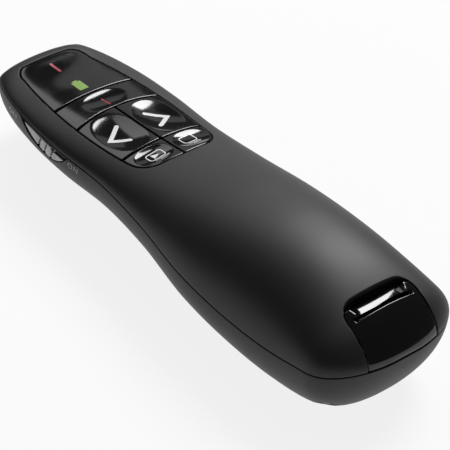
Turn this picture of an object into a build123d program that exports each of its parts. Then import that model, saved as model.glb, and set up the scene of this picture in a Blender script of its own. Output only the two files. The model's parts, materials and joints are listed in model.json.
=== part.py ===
from build123d import *
from math import cos, pi, radians, sin, tan
import os

# A hand-held wireless presentation clicker.
# Frame: origin on the resting plane under the middle of the casing, +Z up, +Y towards the laser end,
# +X to the right of a hand that points the laser away. Places along the casing are written as s,
# the distance from the laser end, so y = LENGTH / 2 - s. All sizes are in millimetres.

# ---------------------------------------------------------------- casing
BAY_HEAD = 60.2           # from the laser end to the head wall of the battery bay
TAIL_ROOM = 7.5           # from the battery bay to the tail end
WALL = 1.6
SEAM_GAP = 0.2            # groove between the two shells
FIT_GAP = 0.2             # gap round a loose cover or a sliding piece
KEY_GAP = 0.17            # half of the gap between two keys
SNUG = 0.05               # gap round a piece that is seated
SKIN_GAP = 0.15           # gap under the curved inner side of a wall
TOP_POWER = 2.15          # section shape: 2 is an ellipse, more is squarer
BELLY_POWER = 2.2
HEAD_PLAN_RADIUS = 2.2    # rounding of the laser end, seen from above
HEAD_SIDE_RADIUS = 5.5    # rounding of the laser end, seen from the side
TAIL_PLAN_RADIUS = 9.3
TAIL_SIDE_RADIUS = 6.5
END_POWER = 2.2

# share of the length, half width, height of the top, height of the seam, depth of the belly.
# The belly is drawn rounder than it is: the resting plane cuts it flat.
STATIONS = (
    (0.00, 10.6, 17.6, 13.9, 5.0),
    (0.05, 13.0, 16.8, 14.4, 3.3),
    (0.14, 15.3, 17.5, 14.7, 2.4),
    (0.24, 16.1, 18.7, 14.8, 2.3),
    (0.36, 15.8, 20.2, 15.0, 2.8),
    (0.48, 16.9, 22.5, 14.5, 1.9),
    (0.61, 18.7, 25.4, 13.0, -1.0),
    (0.73, 18.9, 27.3, 12.2, -2.4),
    (0.83, 18.7, 27.0, 12.7, -2.2),
    (0.92, 18.4, 24.4, 14.5, -0.2),
    (1.00, 17.9, 20.0, 16.0, 5.8),
)
HALF_WIDTH, TOP, SEAM, BELLY = 1, 2, 3, 4
END_FLAT = 0.15                           # depth of rounding left off at the tips, as a small flat
END_STEPS = (0.0, 0.35, 1.05, 2.3, 4.3)   # sections close to each end
END_REGION = 8.0
MIDDLE_STEPS = 12
QUARTER_STEPS = 6
SEAM_OVERLAP = 0.4                        # how far the hollow's outline runs past the seam

# ---------------------------------------------------------------- glossy key field, places as (x, s)
FIELD_FRONT = 3.3
FIELD_REAR = 49.0
FIELD_FRONT_CORNER = ((6.4, 3.3), (8.0, 4.5), (8.7, 7.0))
FIELD_SIDE = ((8.7, 7.0), (11.3, 28.0), (10.6, 44.2))
FIELD_REAR_CORNER = ((10.6, 44.2), (9.2, 47.2), (5.5, 48.8))
PANEL_SEAM = (19.3, 20.1)     # s at the centre line, s at the field's edge
LASER_SEAM = (26.4, 28.4)
SLIDE_SEAM = (41.5, 42.0)
FIELD_REACH = 13.0            # x where the seams end, outside the field
FIELD_END = 2.5               # length of the field's ends, where its corners turn
FIELD_MARGIN = 2.0            # how far a cut runs past the field
KEY_TRAVEL = 0.5
LASER_KEY = (0.0, 23.2)
NAV_KEY = (5.6, 34.4)
SHOW_KEY = (5.2, 45.0)
NAV_DISH_RADIUS = 17.0
NAV_DISH_DEPTH = 0.7
LASER_DISH_RADIUS = 13.0
LASER_DISH_DEPTH = 0.45
LASER_DISH_STRETCH = 1.9

# ---------------------------------------------------------------- circuit board and what is on it
BOARD_THICK = 1.0
BOARD_TOP = 13.2
BOARD_BASE = BOARD_TOP - BOARD_THICK
BOARD_HALF = 12.0
BOARD_NOSE_HALF = 9.6
BOARD_HEAD = 5.0
BOARD_SHOULDER = 14.0
TACT_SIZE = 4.4
TACT_HEIGHT = 1.4
STEM_RADIUS = 1.0
STEM_RISE = 0.7               # height of a switch stem above its housing
STEM_FLOOR = KEY_TRAVEL + FIT_GAP    # room under a stem at rest
POST_RADIUS = 1.2
LED_SIZE = (1.6, 2.0, 0.8)
LIGHTS = {"activity": (0.35, 5.8, 8.6), "battery_level": (1.15, 13.0, 17.3)}    # half width, first s, last s
CHIPS = {                     # x of the left side, width, first s, length, height
    "radio_chip": (-2.5, 5.0, 30.0, 5.0, 0.9),
    "controller_chip": (-3.4, 6.8, 37.0, 4.6, 1.0),
    "crystal": (-5.0, 4.0, 49.4, 1.8, 1.2),
    "antenna": (-5.5, 11.0, 53.2, 0.8, 0.6),
}
BOARD_SCREWS = ((8.6, 11.0), (8.6, 52.0))
BOARD_POST_RADIUS = 2.1
BOARD_SCREW_LENGTH = 5.5
BOARD_HOLE_DEPTH = 6.0

# ---------------------------------------------------------------- screws
SCREW_RADIUS = 1.0
SCREW_HOLE = SCREW_RADIUS + SNUG
HEAD_RADIUS = 1.8
HEAD_HEIGHT = 1.2
HEAD_HOLE = HEAD_RADIUS + FIT_GAP
CROSS_REACH = 0.9             # half length of the recess in a screw's head
CROSS_HALF = 0.2
CROSS_DEPTH = 0.3
CASE_POST_RADIUS = 2.7
CASE_BOSS_RADIUS = 2.0
CASE_SCREW_X = 12.8
CASE_SEAT = 7.6               # height of the step that a case screw's head pulls on
CASE_SCREW_REACH = 3.0        # length of thread above the tray

# ---------------------------------------------------------------- laser
LASER_Z = 8.8
BARREL_RADIUS = 3.0
BARREL_LENGTH = 10.0
BARREL_FRONT = 5.0
LENS_RADIUS = 2.2
LENS_THICK = 1.2
DIODE_RADIUS = 2.7
APERTURE_RADIUS = 2.0
APERTURE_DEPTH = 1.4
WINDOW_THICK = 1.2
LENS_SETBACK = 0.4
BARREL_BORE = 1.7
CAN_THICK = 1.2               # rim of the diode behind the barrel
CAN_NECK = (1.6, 2.0)         # radius and length inside the barrel
LEG_RADIUS = 0.25
LEG_LENGTH = 3.8
LEG_PITCH = 1.2
CRADLE_WALL = 1.2
CRADLE_THICK = 1.0
CRADLE_INSETS = (2.0, 7.0)    # from the barrel's front

# ---------------------------------------------------------------- batteries, AAA
CELL_RADIUS = 5.25
CELL_LENGTH = 44.5
NUB_LENGTH = 0.8
NUB_RADIUS = 1.9
CELL_X = 5.5
CELL_Z = 7.5
SPRING_LENGTH = 2.7
CONTACT_THICK = 0.3
CONTACT_HALF = 9.3
CONTACT_SPLIT = 1.2           # from the centre line to each of the two contacts
CONTACT_DROP = 2.6            # from the cells' axis to the foot of a contact
LEAD_HALF = 1.0
LEAD_THICK = 0.25
LEAD_LAP = 2.0                # how far a lead runs under the board
SPRING_WIRE = 0.25
SPRING_RADIUS = 3.25
SPRING_TURNS = 3
SPRING_CONE = 12.0            # degrees
TRAY_THICK = 0.65
TRAY_WALL = 0.8
TRAY_HALF = 11.6
TRAY_ENDS = ((9.6, 2.4), (8.8, 1.8))     # half width of each end wall, and its drop below the cells' axis
RIDGE_INSET = 4.0             # ridge between the cells, from each end of the bay
RIDGE_DROP = 2.0              # its foot above the cells' axis
RIDGE_THICK = 0.4
TRAY_GAP = 0.1

# ---------------------------------------------------------------- battery door
DOOR_HALF = 11.6
DOOR_INSETS = (5.8, 3.0)      # from the bay's head wall and tail wall to the door
DOOR_CORNER = 2.5
TAB_HALF = 1.1
TAB_REACH = 1.8
TAB_ROOT = 2.0                # length of the tab that stands on the door
TAB_THICK = 1.2
GRIP_COUNT = 4
GRIP_PITCH = 1.8
GRIP_DEPTH = 0.4
GRIP_WIDTH = 0.8
GRIP_HALF = 4.5
GRIP_START = 4.0              # from the door's tail end to its first grip line

# ---------------------------------------------------------------- receiver and its dock
DOCK_TILT = 3.0               # degrees, the tail end is higher
RECEIVER_WIDTH = 18.1
RECEIVER_THICK = 7.4
RECEIVER_CORNER = 2.6
RECEIVER_WALL = 1.0
RECEIVER_LENGTH = 61.0
PLUG_WIDTH = 12.0
PLUG_THICK = 4.5
PLUG_LENGTH = 11.9
PLUG_WALL = 0.3
RECEIVER_END_GAP = 0.1        # how far the cap's end stays inside the casing's outline
RECEIVER_BOARD_THICK = 0.8
RECEIVER_CHIP = (5.0, 14.0, 0.9)          # side, place behind the housing's head end, height
TONGUE_RISE = 1.9
TONGUE_SETBACK = 0.6
PLUG_HOLD = 5.0               # length of the plug inside the housing
PLUG_WINDOWS = (2.6, 2.2, 5.6, 2.4)       # x, width, place ahead of the housing, length
PIN_PLACES = (-3.5, -1.25, 1.25, 3.5)
PIN_WIDTH = 1.0
PIN_ENDS = (1.6, 2.0)         # from the plug's mouth, and ahead of the housing
PIN_THICK = 0.15
CAP_POCKET_WALL = 4.5         # solid end of the cap behind its pocket
CAP_LENGTH = 11.2
DOCK_HALF = 9.4
DOCK_LENGTH = 11.9            # length of the opening, from the tail end
DOCK_CORNER = 3.8
SCOOP_REACH = 8.1             # from the tail end to the rear of the scoop
SCOOP_CORNER = 3.0            # round lower corners of the scoop and of the groove behind it
GROOVE_WIDTH = 0.9
GROOVE_DEPTH = 1.8
EAR_WIDTH = 1.3
EAR_REACH = 9.9
RAIL_THICK = 1.0
RAIL_HEIGHT = 4.0
RAMP_X = 6.5
RAMP_WIDTH = 1.0

# ---------------------------------------------------------------- power switch, places as (s, z)
SWITCH_HEAD = 14.2
SWITCH_TAIL = 31.0
SWITCH_TOP = 14.3
SWITCH_LOW = (24.6, 10.2)
SWITCH_BOW = 0.79             # how deep the leaf's front edge bows, as a share of its height
SWITCH_BULGE = 0.5            # how far its rear edge bows out, along each direction
SWITCH_TRAVEL = 1.2
SLIDER_LOW_GAP = 0.3          # under the slider's curved lower edge
SLIDER_HEEL_DROP = 0.7        # step down behind the last groove
SLIDER_GROOVE_Z = 11.9
SLIDER_GROOVE_LENGTH = 4.0
SLIDER_GROOVE_LEAN = 21.0     # degrees
FLANGE_THICK = 0.5            # plate inside the wall that keeps the slider in
FLANGE_LAP = 0.6
FORK_WALL = (0.6, 0.3)        # round the lever: along the casing, and over and under it
LEVER_REACH = 3.0             # length of the lever inside the switch
BRIDGE_S = (20.2, 24.8)       # what joins the slider to its flange
BRIDGE_Z = (12.9, 13.8)
SLIDER_GROOVES = (21.4, 23.6, 25.8)
SLIDER_GROOVE_WIDTH = 0.55
SLIDER_GROOVE_DEPTH = 0.6
LEVER_S = (20.2, 21.8)
LEVER_Z = (10.6, 11.6)
SWITCH_BODY_S = (18.0, 26.5)
SWITCH_BODY_X = (-11.8, -7.8)
SWITCH_BODY_THICK = 2.2

# ---------------------------------------------------------------- places that follow
TRAY_BASE = CELL_Z + CELL_RADIUS + TRAY_GAP
TRAY_TOP = TRAY_BASE + TRAY_THICK
BAY_TAIL = BAY_HEAD + CELL_LENGTH + SPRING_LENGTH + 2 * CONTACT_THICK
LENGTH = BAY_TAIL + TAIL_ROOM
HALF = LENGTH / 2
DOOR_HEAD = BAY_HEAD + DOOR_INSETS[0]
DOOR_TAIL = BAY_TAIL - DOOR_INSETS[1]
DOCK_FRONT = LENGTH - DOCK_LENGTH
SCOOP_REAR = LENGTH - SCOOP_REACH
EAR_FRONT = LENGTH - EAR_REACH
BOARD_TAIL = BAY_HEAD - 3.8
CASE_SCREWS = ((CASE_SCREW_X, BAY_HEAD - 0.7), (CASE_SCREW_X, BAY_TAIL + 0.4))
DOCK_FLOOR = TRAY_TOP + 0.1                        # receiver's underside at its head end
HOUSING_HEAD = LENGTH - RECEIVER_END_GAP - RECEIVER_LENGTH + PLUG_LENGTH
HOUSING_TAIL = LENGTH - RECEIVER_END_GAP - CAP_LENGTH
KEY_POSTS = {
    "laser": LASER_KEY,
    "previous": (-NAV_KEY[0], NAV_KEY[1]),
    "next": NAV_KEY,
    "slideshow": (-SHOW_KEY[0], SHOW_KEY[1]),
    "blank_screen": SHOW_KEY,
}
FAR = 60.0                                         # longer than any cut needs


# ================================================================ shape of the casing
def along(column, s):
    """Smooth curve through one column of STATIONS, at s from the laser end."""
    places = [row[0] * LENGTH for row in STATIONS]
    values = [row[column] for row in STATIONS]
    i = max(0, min(len(places) - 2, sum(place <= s for place in places) - 1))

    def chord(k):
        return (values[k + 1] - values[k]) / (places[k + 1] - places[k])

    def slope(k):
        if k == 0:
            return chord(0)
        if k == len(places) - 1:
            return chord(k - 1)
        before = places[k] - places[k - 1]
        after = places[k + 1] - places[k]
        return (chord(k - 1) * after + chord(k) * before) / (before + after)

    step = places[i + 1] - places[i]
    t = (s - places[i]) / step
    rise = values[i + 1] - values[i]
    return (values[i] + rise * t * t * (3 - 2 * t) + slope(i) * step * t * (1 - t) ** 2
            - slope(i + 1) * step * t * t * (1 - t))


def end_rounding(s, head_radius, tail_radius, inset):
    """Factor from 0 at the tips to 1 where the ends' rounding is over."""
    head = max(0.0, 1 - (s - inset + END_FLAT) / (head_radius - inset / 2))
    tail = max(0.0, 1 - (LENGTH - inset - s + END_FLAT) / (tail_radius - inset))
    return ((1 - head ** END_POWER) * (1 - tail ** END_POWER)) ** (1 / END_POWER)


def half_width(s, inset=0.0):
    return (along(HALF_WIDTH, s) - inset) * end_rounding(s, HEAD_PLAN_RADIUS, TAIL_PLAN_RADIUS, inset)


def reach_up(s, inset=0.0):
    """Height of the top above the seam."""
    rise = along(TOP, s) - along(SEAM, s) - inset
    return rise * end_rounding(s, HEAD_SIDE_RADIUS, TAIL_SIDE_RADIUS, inset)


def reach_down(s, inset=0.0):
    """Depth of the belly under the seam, before the resting plane cuts it."""
    drop = along(SEAM, s) - along(BELLY, s) - inset
    return drop * end_rounding(s, HEAD_SIDE_RADIUS, TAIL_SIDE_RADIUS, inset)


def top_z(x, s, inset=0.0):
    """Height of the top surface, or of its inner side, over a point of the plan."""
    share = min(1.0, abs(x) / half_width(s, inset))
    lap = SEAM_OVERLAP if inset else 0
    return along(SEAM, s) - lap + (reach_up(s, inset) + lap) * (1 - share ** TOP_POWER) ** (1 / TOP_POWER)


def side_x(z, s, inset=0.0):
    """Half width of the lower shell at height z."""
    lap = SEAM_OVERLAP if inset else 0
    share = min(1.0, (along(SEAM, s) + lap - z) / (reach_down(s, inset) + lap))
    return half_width(s, inset) * (1 - share ** BELLY_POWER) ** (1 / BELLY_POWER)


def half_section(s, inset, side, overlap):
    """Closed D of the casing across its length: an arch on a straight foot, side +1 up, -1 down.
    The foot keeps clear of the seam, or with an overlap it lies past it."""
    width = half_width(s, inset)
    if side > 0:
        reach, power = reach_up(s, inset), TOP_POWER
    else:
        reach, power = reach_down(s, inset), BELLY_POWER
    lift = -overlap if overlap else SEAM_GAP / 2
    base = along(SEAM, s) + side * lift
    reach -= lift

    def quarter(first):
        points = []
        for k in range(QUARTER_STEPS + 1):
            angle = pi / 2 * (first + k / QUARTER_STEPS)
            across = abs(cos(angle)) ** (2 / power) * (1 - 2 * first)
            points.append(Vector(width * across, HALF - s, base + side * reach * sin(angle) ** (2 / power)))
        ends = ((0, 0, side), (-1, 0, 0)) if first == 0 else ((-1, 0, 0), (0, 0, -side))
        shares = [k / QUARTER_STEPS for k in range(QUARTER_STEPS + 1)]
        return Edge.make_spline(points, tangents=ends, parameters=shares)

    right_arch, left_arch = quarter(0), quarter(1)
    return Wire([right_arch, left_arch, Edge.make_line(left_arch @ 1, right_arch @ 0)])


def half_body(inset, side, overlap=0.0):
    """Solid half of the casing, its skin inset from the outside."""
    first, last = inset, LENGTH - inset
    low, high = first + END_REGION, last - END_REGION
    places = [first + step for step in END_STEPS]
    places += [low + (high - low) * k / MIDDLE_STEPS for k in range(MIDDLE_STEPS + 1)]
    places += [last - step for step in reversed(END_STEPS)]
    return Solid.make_loft([half_section(s, inset, side, overlap) for s in places])


# ================================================================ small helpers
def block(x0, x1, s0, s1, z0, z1):
    """Box between two places along each direction."""
    return Pos((x0 + x1) / 2, HALF - (s0 + s1) / 2, (z0 + z1) / 2) * Box(x1 - x0, s1 - s0, z1 - z0)


def upright(radius, x, s, z0, z1):
    """Round bar that stands along Z."""
    return Pos(x, HALF - s, (z0 + z1) / 2) * Cylinder(radius, z1 - z0)


def lengthwise(radius, x, z, s0, s1):
    """Round bar that lies along the casing."""
    return Pos(x, HALF - (s0 + s1) / 2, z) * Rot(90, 0, 0) * Cylinder(radius, s1 - s0)


def plan(x, s):
    return Vector(x, HALF - s, 0)


def upright_prism(edges, z0=0.0, z1=FAR):
    """Solid with a plan outline."""
    return extrude(Pos(0, 0, z0) * Face(Wire(edges)), amount=z1 - z0, dir=(0, 0, 1))


def both_sides(places):
    """The places, and their mirror images across the centre line."""
    return [(side * x, s) for x, s in places for side in (-1, 1)]


def tilted(shape):
    """From the receiver's own frame to the dock: s from the housing's head end, z from its underside."""
    return Pos(0, HALF - HOUSING_HEAD, DOCK_FLOOR) * Rot(-DOCK_TILT, 0, 0) * Pos(0, -HALF, 0) * shape


def receiver_bar(gap, s0, s1):
    """Bar with the receiver's section, grown by gap, in the receiver's own frame."""
    outline = RectangleRounded(RECEIVER_WIDTH + 2 * gap, RECEIVER_THICK + 2 * gap, RECEIVER_CORNER + gap)
    section = Plane.XZ * (Pos(0, RECEIVER_THICK / 2) * outline)
    return Pos(0, HALF - s0, 0) * extrude(section, amount=s1 - s0, dir=(0, -1, 0))


def save(name, shape):
    """One STEP file for one named piece."""
    solids = shape.solids()
    whole = solids[0] if len(solids) == 1 else Compound(children=list(solids))
    export_step(whole, f"parts/{name}.step")


os.makedirs("parts", exist_ok=True)

outer_top = half_body(0.0, 1)
outer_belly = half_body(0.0, -1) & block(-FAR, FAR, -FAR, LENGTH + FAR, 0, FAR)
inner_top = half_body(WALL, 1, SEAM_OVERLAP)
inner_belly = half_body(WALL, -1, SEAM_OVERLAP) & block(-FAR, FAR, -FAR, LENGTH + FAR, WALL, FAR)
top_wall = outer_top - inner_top
belly_wall = outer_belly - inner_belly


# ================================================================ key field
def field_outline(inset):
    """Outline of the glossy field, moved inwards by inset."""
    middle = (FIELD_FRONT + FIELD_REAR) / 2

    def inwards(x, s):
        end = 1 if s < middle else -1
        at_end = abs(s - middle) > (FIELD_REAR - FIELD_FRONT) / 2 - FIELD_END
        return plan(x - inset * (1 if x > 0 else -1), s + end * inset * at_end)

    def half(side):
        front, flank, rear = ([inwards(side * x, s) for x, s in run]
                              for run in (FIELD_FRONT_CORNER, FIELD_SIDE, FIELD_REAR_CORNER))
        return [ThreePointArc(*front), ThreePointArc(*flank), ThreePointArc(*rear)]

    right, left = half(1), half(-1)
    return [Edge.make_line(left[0] @ 0, right[0] @ 0), *right,
            ThreePointArc(right[-1] @ 1, plan(0, FIELD_REAR - inset), left[-1] @ 1), *reversed(left)]


def field_band(front, rear, x0=-FIELD_REACH, x1=FIELD_REACH):
    """Upright prism between two seams that bow towards the laser end."""
    def bowed(seam, x):
        return seam[0] + (seam[1] - seam[0]) * (x / FIELD_REACH) ** 2

    def edge(seam, a, b):
        if seam[0] == seam[1]:
            return Edge.make_line(plan(a, seam[0]), plan(b, seam[0]))
        return ThreePointArc(*[plan(x, bowed(seam, x)) for x in (a, (a + b) / 2, b)])

    ahead, behind = edge(front, x0, x1), edge(rear, x1, x0)
    return upright_prism([ahead, Edge.make_line(ahead @ 1, behind @ 0), behind,
                          Edge.make_line(behind @ 1, ahead @ 0)])


def shifted(seam, distance):
    return (seam[0] + distance, seam[1] + distance)


def dish(x, s, radius, depth, stretch=1.0):
    """Ball that presses a shallow dish into a key; stretch widens it across the casing."""
    centre = Pos(x, HALF - s, top_z(x, s) - depth + radius)
    return centre * scale(Sphere(radius), by=(stretch, 1.0, 1.0))


field = top_wall & upright_prism(field_outline(KEY_GAP))
ahead_of_all = (FIELD_FRONT - FIELD_MARGIN,) * 2
behind_all = (FIELD_REAR + FIELD_MARGIN,) * 2
laser_band = (shifted(PANEL_SEAM, KEY_GAP), shifted(LASER_SEAM, -KEY_GAP))
nav_band = (shifted(LASER_SEAM, KEY_GAP), shifted(SLIDE_SEAM, -KEY_GAP))
show_band = (shifted(SLIDE_SEAM, KEY_GAP), behind_all)

status_panel = field & field_band(ahead_of_all, shifted(PANEL_SEAM, -KEY_GAP))
keys = {
    "laser": field & field_band(*laser_band),
    "previous": field & field_band(*nav_band, x1=-KEY_GAP),
    "next": field & field_band(*nav_band, x0=KEY_GAP),
    "slideshow": field & field_band(*show_band, x1=-KEY_GAP),
    "blank_screen": field & field_band(*show_band, x0=KEY_GAP),
}
keys["laser"] -= dish(*LASER_KEY, LASER_DISH_RADIUS, LASER_DISH_DEPTH, LASER_DISH_STRETCH)
for name in ("previous", "next"):
    keys[name] -= dish(*KEY_POSTS[name], NAV_DISH_RADIUS, NAV_DISH_DEPTH)

tact_top = BOARD_TOP + TACT_HEIGHT
stem_top = tact_top + STEM_RISE
tact_housings = []
for name, (x, s) in KEY_POSTS.items():
    under_key = top_z(x, s, WALL) + WALL / 3
    keys[name] += upright(POST_RADIUS, x, s, stem_top, under_key)
    half = TACT_SIZE / 2
    housing = block(x - half, x + half, s - half, s + half, BOARD_TOP, tact_top)
    tact_housings.append(housing - upright(STEM_RADIUS + SNUG, x, s, BOARD_TOP, tact_top))
    save(f"{name}_switch_stem", upright(STEM_RADIUS, x, s, BOARD_TOP + STEM_FLOOR, stem_top))
    save(f"{name}_button", keys[name])
save("tact_switches", Compound(children=tact_housings))
save("status_panel", status_panel)

# ================================================================ top shell
dock_cut = extrude(
    Pos(0, HALF - (DOCK_FRONT + FAR / 2), 0) * RectangleRounded(2 * DOCK_HALF, FAR, DOCK_CORNER),
    amount=FAR)
top_shell = top_wall - upright_prism(field_outline(0.0)) - dock_cut
boss_base = TRAY_TOP
for x, s in both_sides(CASE_SCREWS):
    boss = upright(CASE_BOSS_RADIUS, x, s, boss_base, top_z(x, s, WALL) + WALL / 2) & outer_top
    stub = upright(CASE_BOSS_RADIUS, x, s, boss_base, along(SEAM, s) + WALL)
    top_shell += stub + boss
    top_shell -= upright(SCREW_HOLE, x, s, boss_base, boss_base + CASE_SCREW_REACH + SNUG)
top_shell -= tilted(receiver_bar(FIT_GAP, 0, LENGTH))
save("top_shell", top_shell)


# ================================================================ lower shell and battery door
def switch_leaf(shift=0.0, rise=0.0):
    """Leaf of the power switch through the side wall, pointed at the laser end.
    It is moved towards the tail by shift, and its lower edge is lifted by rise."""
    low_s, low_z = SWITCH_LOW[0], SWITCH_LOW[1] + rise

    def at(s, z):
        return Vector(-FAR, HALF - s - shift, z)

    point, corner, heel = at(SWITCH_HEAD, SWITCH_TOP), at(SWITCH_TAIL, SWITCH_TOP), at(low_s, low_z)
    rear = at((SWITCH_TAIL + low_s) / 2 + SWITCH_BULGE, (SWITCH_TOP + low_z) / 2 - SWITCH_BULGE)
    front = at((SWITCH_HEAD + low_s) / 2, SWITCH_TOP - (SWITCH_TOP - low_z) * SWITCH_BOW)
    edges = [Edge.make_line(point, corner), ThreePointArc(corner, rear, heel),
             ThreePointArc(heel, front, point)]
    return extrude(Face(Wire(edges)), amount=FAR - BOARD_HALF / 2, dir=(1, 0, 0))


door_middle = (DOOR_HEAD + DOOR_TAIL) / 2


def door_prism(inset):
    outline = RectangleRounded(2 * (DOOR_HALF - inset), DOOR_TAIL - DOOR_HEAD - 2 * inset, DOOR_CORNER)
    return extrude(Pos(0, HALF - door_middle, -1) * outline, amount=CELL_Z)


cells = [(-CELL_X, BAY_HEAD + CONTACT_THICK + SPRING_LENGTH, 1), (CELL_X, BAY_HEAD + CONTACT_THICK, -1)]
cell_room = Compound(children=[
    lengthwise(CELL_RADIUS + FIT_GAP, x, CELL_Z, BAY_HEAD, BAY_TAIL) for x, _, _ in cells])

bottom_shell = belly_wall - door_prism(0.0)
bottom_shell -= switch_leaf()
for x, s in both_sides(BOARD_SCREWS):
    post = upright(BOARD_POST_RADIUS, x, s, 0, BOARD_BASE) & outer_belly
    bottom_shell += post
    bottom_shell -= upright(SCREW_HOLE, x, s, BOARD_BASE - BOARD_HOLE_DEPTH, BOARD_BASE)
for x, s in both_sides(CASE_SCREWS):
    bottom_shell += upright(CASE_POST_RADIUS, x, s, 0, TRAY_BASE) & outer_belly
    bottom_shell -= upright(SCREW_HOLE, x, s, 0, TRAY_BASE)
    bottom_shell -= upright(HEAD_HOLE, x, s, -1, CASE_SEAT)
cradle_half = BARREL_RADIUS + CRADLE_WALL
for inset in CRADLE_INSETS:
    s = BARREL_FRONT + inset
    bottom_shell += block(-cradle_half, cradle_half, s, s + CRADLE_THICK, 0, LASER_Z) & outer_belly
bottom_shell -= lengthwise(BARREL_RADIUS + SNUG, 0, LASER_Z, BARREL_FRONT, BARREL_FRONT + BARREL_LENGTH)
bottom_shell -= lengthwise(APERTURE_RADIUS, 0, LASER_Z, -1, BARREL_FRONT)
bottom_shell -= cell_room
save("bottom_shell", bottom_shell)

tab_base = WALL + FIT_GAP
battery_door = belly_wall & door_prism(FIT_GAP)
battery_door -= cell_room
tab_root = DOOR_HEAD + TAB_ROOT
battery_door += block(-TAB_HALF, TAB_HALF, DOOR_HEAD - TAB_REACH, tab_root, tab_base, tab_base + TAB_THICK)
battery_door += block(-TAB_HALF, TAB_HALF, DOOR_HEAD + 2 * FIT_GAP, tab_root, WALL / 2, tab_base)
for k in range(GRIP_COUNT):
    s = DOOR_TAIL - GRIP_START - k * GRIP_PITCH
    battery_door -= block(-GRIP_HALF, GRIP_HALF, s - GRIP_WIDTH, s, -1, GRIP_DEPTH)
save("battery_door", battery_door)

# ================================================================ battery tray and receiver bay
tilt = tan(radians(DOCK_TILT))


def dock_z(s, above=0.0):
    """Height of the receiver's underside at s."""
    return DOCK_FLOOR + above + (s - HOUSING_HEAD) * tilt


tray = block(-TRAY_HALF, TRAY_HALF, BAY_HEAD - TRAY_WALL, BAY_TAIL + TRAY_WALL, TRAY_BASE, TRAY_TOP)
for s in (CASE_SCREWS[0][1], CASE_SCREWS[1][1]):
    tray += block(-CASE_SCREW_X, CASE_SCREW_X, s - CASE_BOSS_RADIUS, s + CASE_BOSS_RADIUS,
                  TRAY_BASE, TRAY_TOP)
for x, s in both_sides(CASE_SCREWS):
    tray += upright(CASE_BOSS_RADIUS, x, s, TRAY_BASE, TRAY_TOP)
for s, (half, drop) in zip((BAY_HEAD - TRAY_WALL, BAY_TAIL), TRAY_ENDS):
    tray += block(-half, half, s, s + TRAY_WALL, CELL_Z - drop, TRAY_TOP)
tray += block(-RIDGE_THICK / 2, RIDGE_THICK / 2, BAY_HEAD + RIDGE_INSET, BAY_TAIL - RIDGE_INSET,
              CELL_Z + RIDGE_DROP, TRAY_BASE)
rail_inside = RECEIVER_WIDTH / 2 + FIT_GAP
for side in (-1, 1):
    for x, width, top in ((rail_inside, RAIL_THICK, RAIL_HEIGHT), (RAMP_X, RAMP_WIDTH, -SNUG)):
        near, far = HOUSING_HEAD, DOCK_FRONT - CASE_BOSS_RADIUS
        corners = [(near, TRAY_BASE), (far, TRAY_BASE), (far, dock_z(far, top)), (near, dock_z(near, top))]
        profile = Polyline(*[Vector(side * x, HALF - s, z) for s, z in corners], close=True)
        tray += extrude(Face(Wire(profile.edges())), amount=width, dir=(side, 0, 0))
for x, s in both_sides(CASE_SCREWS):
    tray -= upright(SCREW_HOLE, x, s, 0, FAR)
lead_top = BOARD_BASE - SNUG
for side in (-1, 1):
    lead_room = LEAD_HALF + FIT_GAP
    tray -= block(side * CELL_X - lead_room, side * CELL_X + lead_room, BAY_HEAD - 2 * TRAY_WALL, BAY_HEAD,
                  lead_top - LEAD_THICK - SNUG, lead_top + SNUG)
save("battery_tray", tray)

# ================================================================ batteries and contacts
for name, (x, s, end) in zip(("battery_left", "battery_right"), cells):
    body_head = s if end > 0 else s + NUB_LENGTH
    nub_head = s + CELL_LENGTH - NUB_LENGTH if end > 0 else s
    cell = lengthwise(CELL_RADIUS, x, CELL_Z, body_head, body_head + CELL_LENGTH - NUB_LENGTH)
    cell += lengthwise(NUB_RADIUS, x, CELL_Z, nub_head, nub_head + NUB_LENGTH)
    save(name, cell)


def contact(x0, x1, s, lead_x=None):
    """Sheet metal plate on a wall of the bay, with a lead that runs under the board."""
    plate = block(x0, x1, s, s + CONTACT_THICK, CELL_Z - CONTACT_DROP, lead_top)
    if lead_x is not None:
        plate += block(lead_x - LEAD_HALF, lead_x + LEAD_HALF, BOARD_TAIL - LEAD_LAP, s + CONTACT_THICK,
                       lead_top - LEAD_THICK, lead_top)
    return plate


save("negative_contact", contact(-CONTACT_HALF, -CONTACT_SPLIT, BAY_HEAD, -CELL_X))
save("positive_contact", contact(CONTACT_SPLIT, CONTACT_HALF, BAY_HEAD, CELL_X))
save("bridge_contact", contact(-CONTACT_HALF, CONTACT_HALF, BAY_TAIL - CONTACT_THICK))


def spring(x, s0, s1):
    """Conical spring that lies along the casing, widest at s0."""
    height = abs(s1 - s0) - 2 * SPRING_WIRE
    path = Helix(pitch=height / SPRING_TURNS, height=height, radius=SPRING_RADIUS, cone_angle=-SPRING_CONE)
    wire = Plane(origin=path @ 0, z_dir=path % 0) * Circle(SPRING_WIRE)
    coil = sweep(wire, path=path, is_frenet=True)
    turned = Rot(90, 0, 0) if s1 > s0 else Rot(-90, 0, 0)
    start = s0 + (SPRING_WIRE if s1 > s0 else -SPRING_WIRE)
    return Pos(x, HALF - start, CELL_Z) * turned * coil


save("battery_springs", Compound(children=[
    spring(-CELL_X, BAY_HEAD + CONTACT_THICK, BAY_HEAD + CONTACT_THICK + SPRING_LENGTH).solid(),
    spring(CELL_X, BAY_TAIL - CONTACT_THICK, BAY_TAIL - CONTACT_THICK - SPRING_LENGTH).solid()]))

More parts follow.
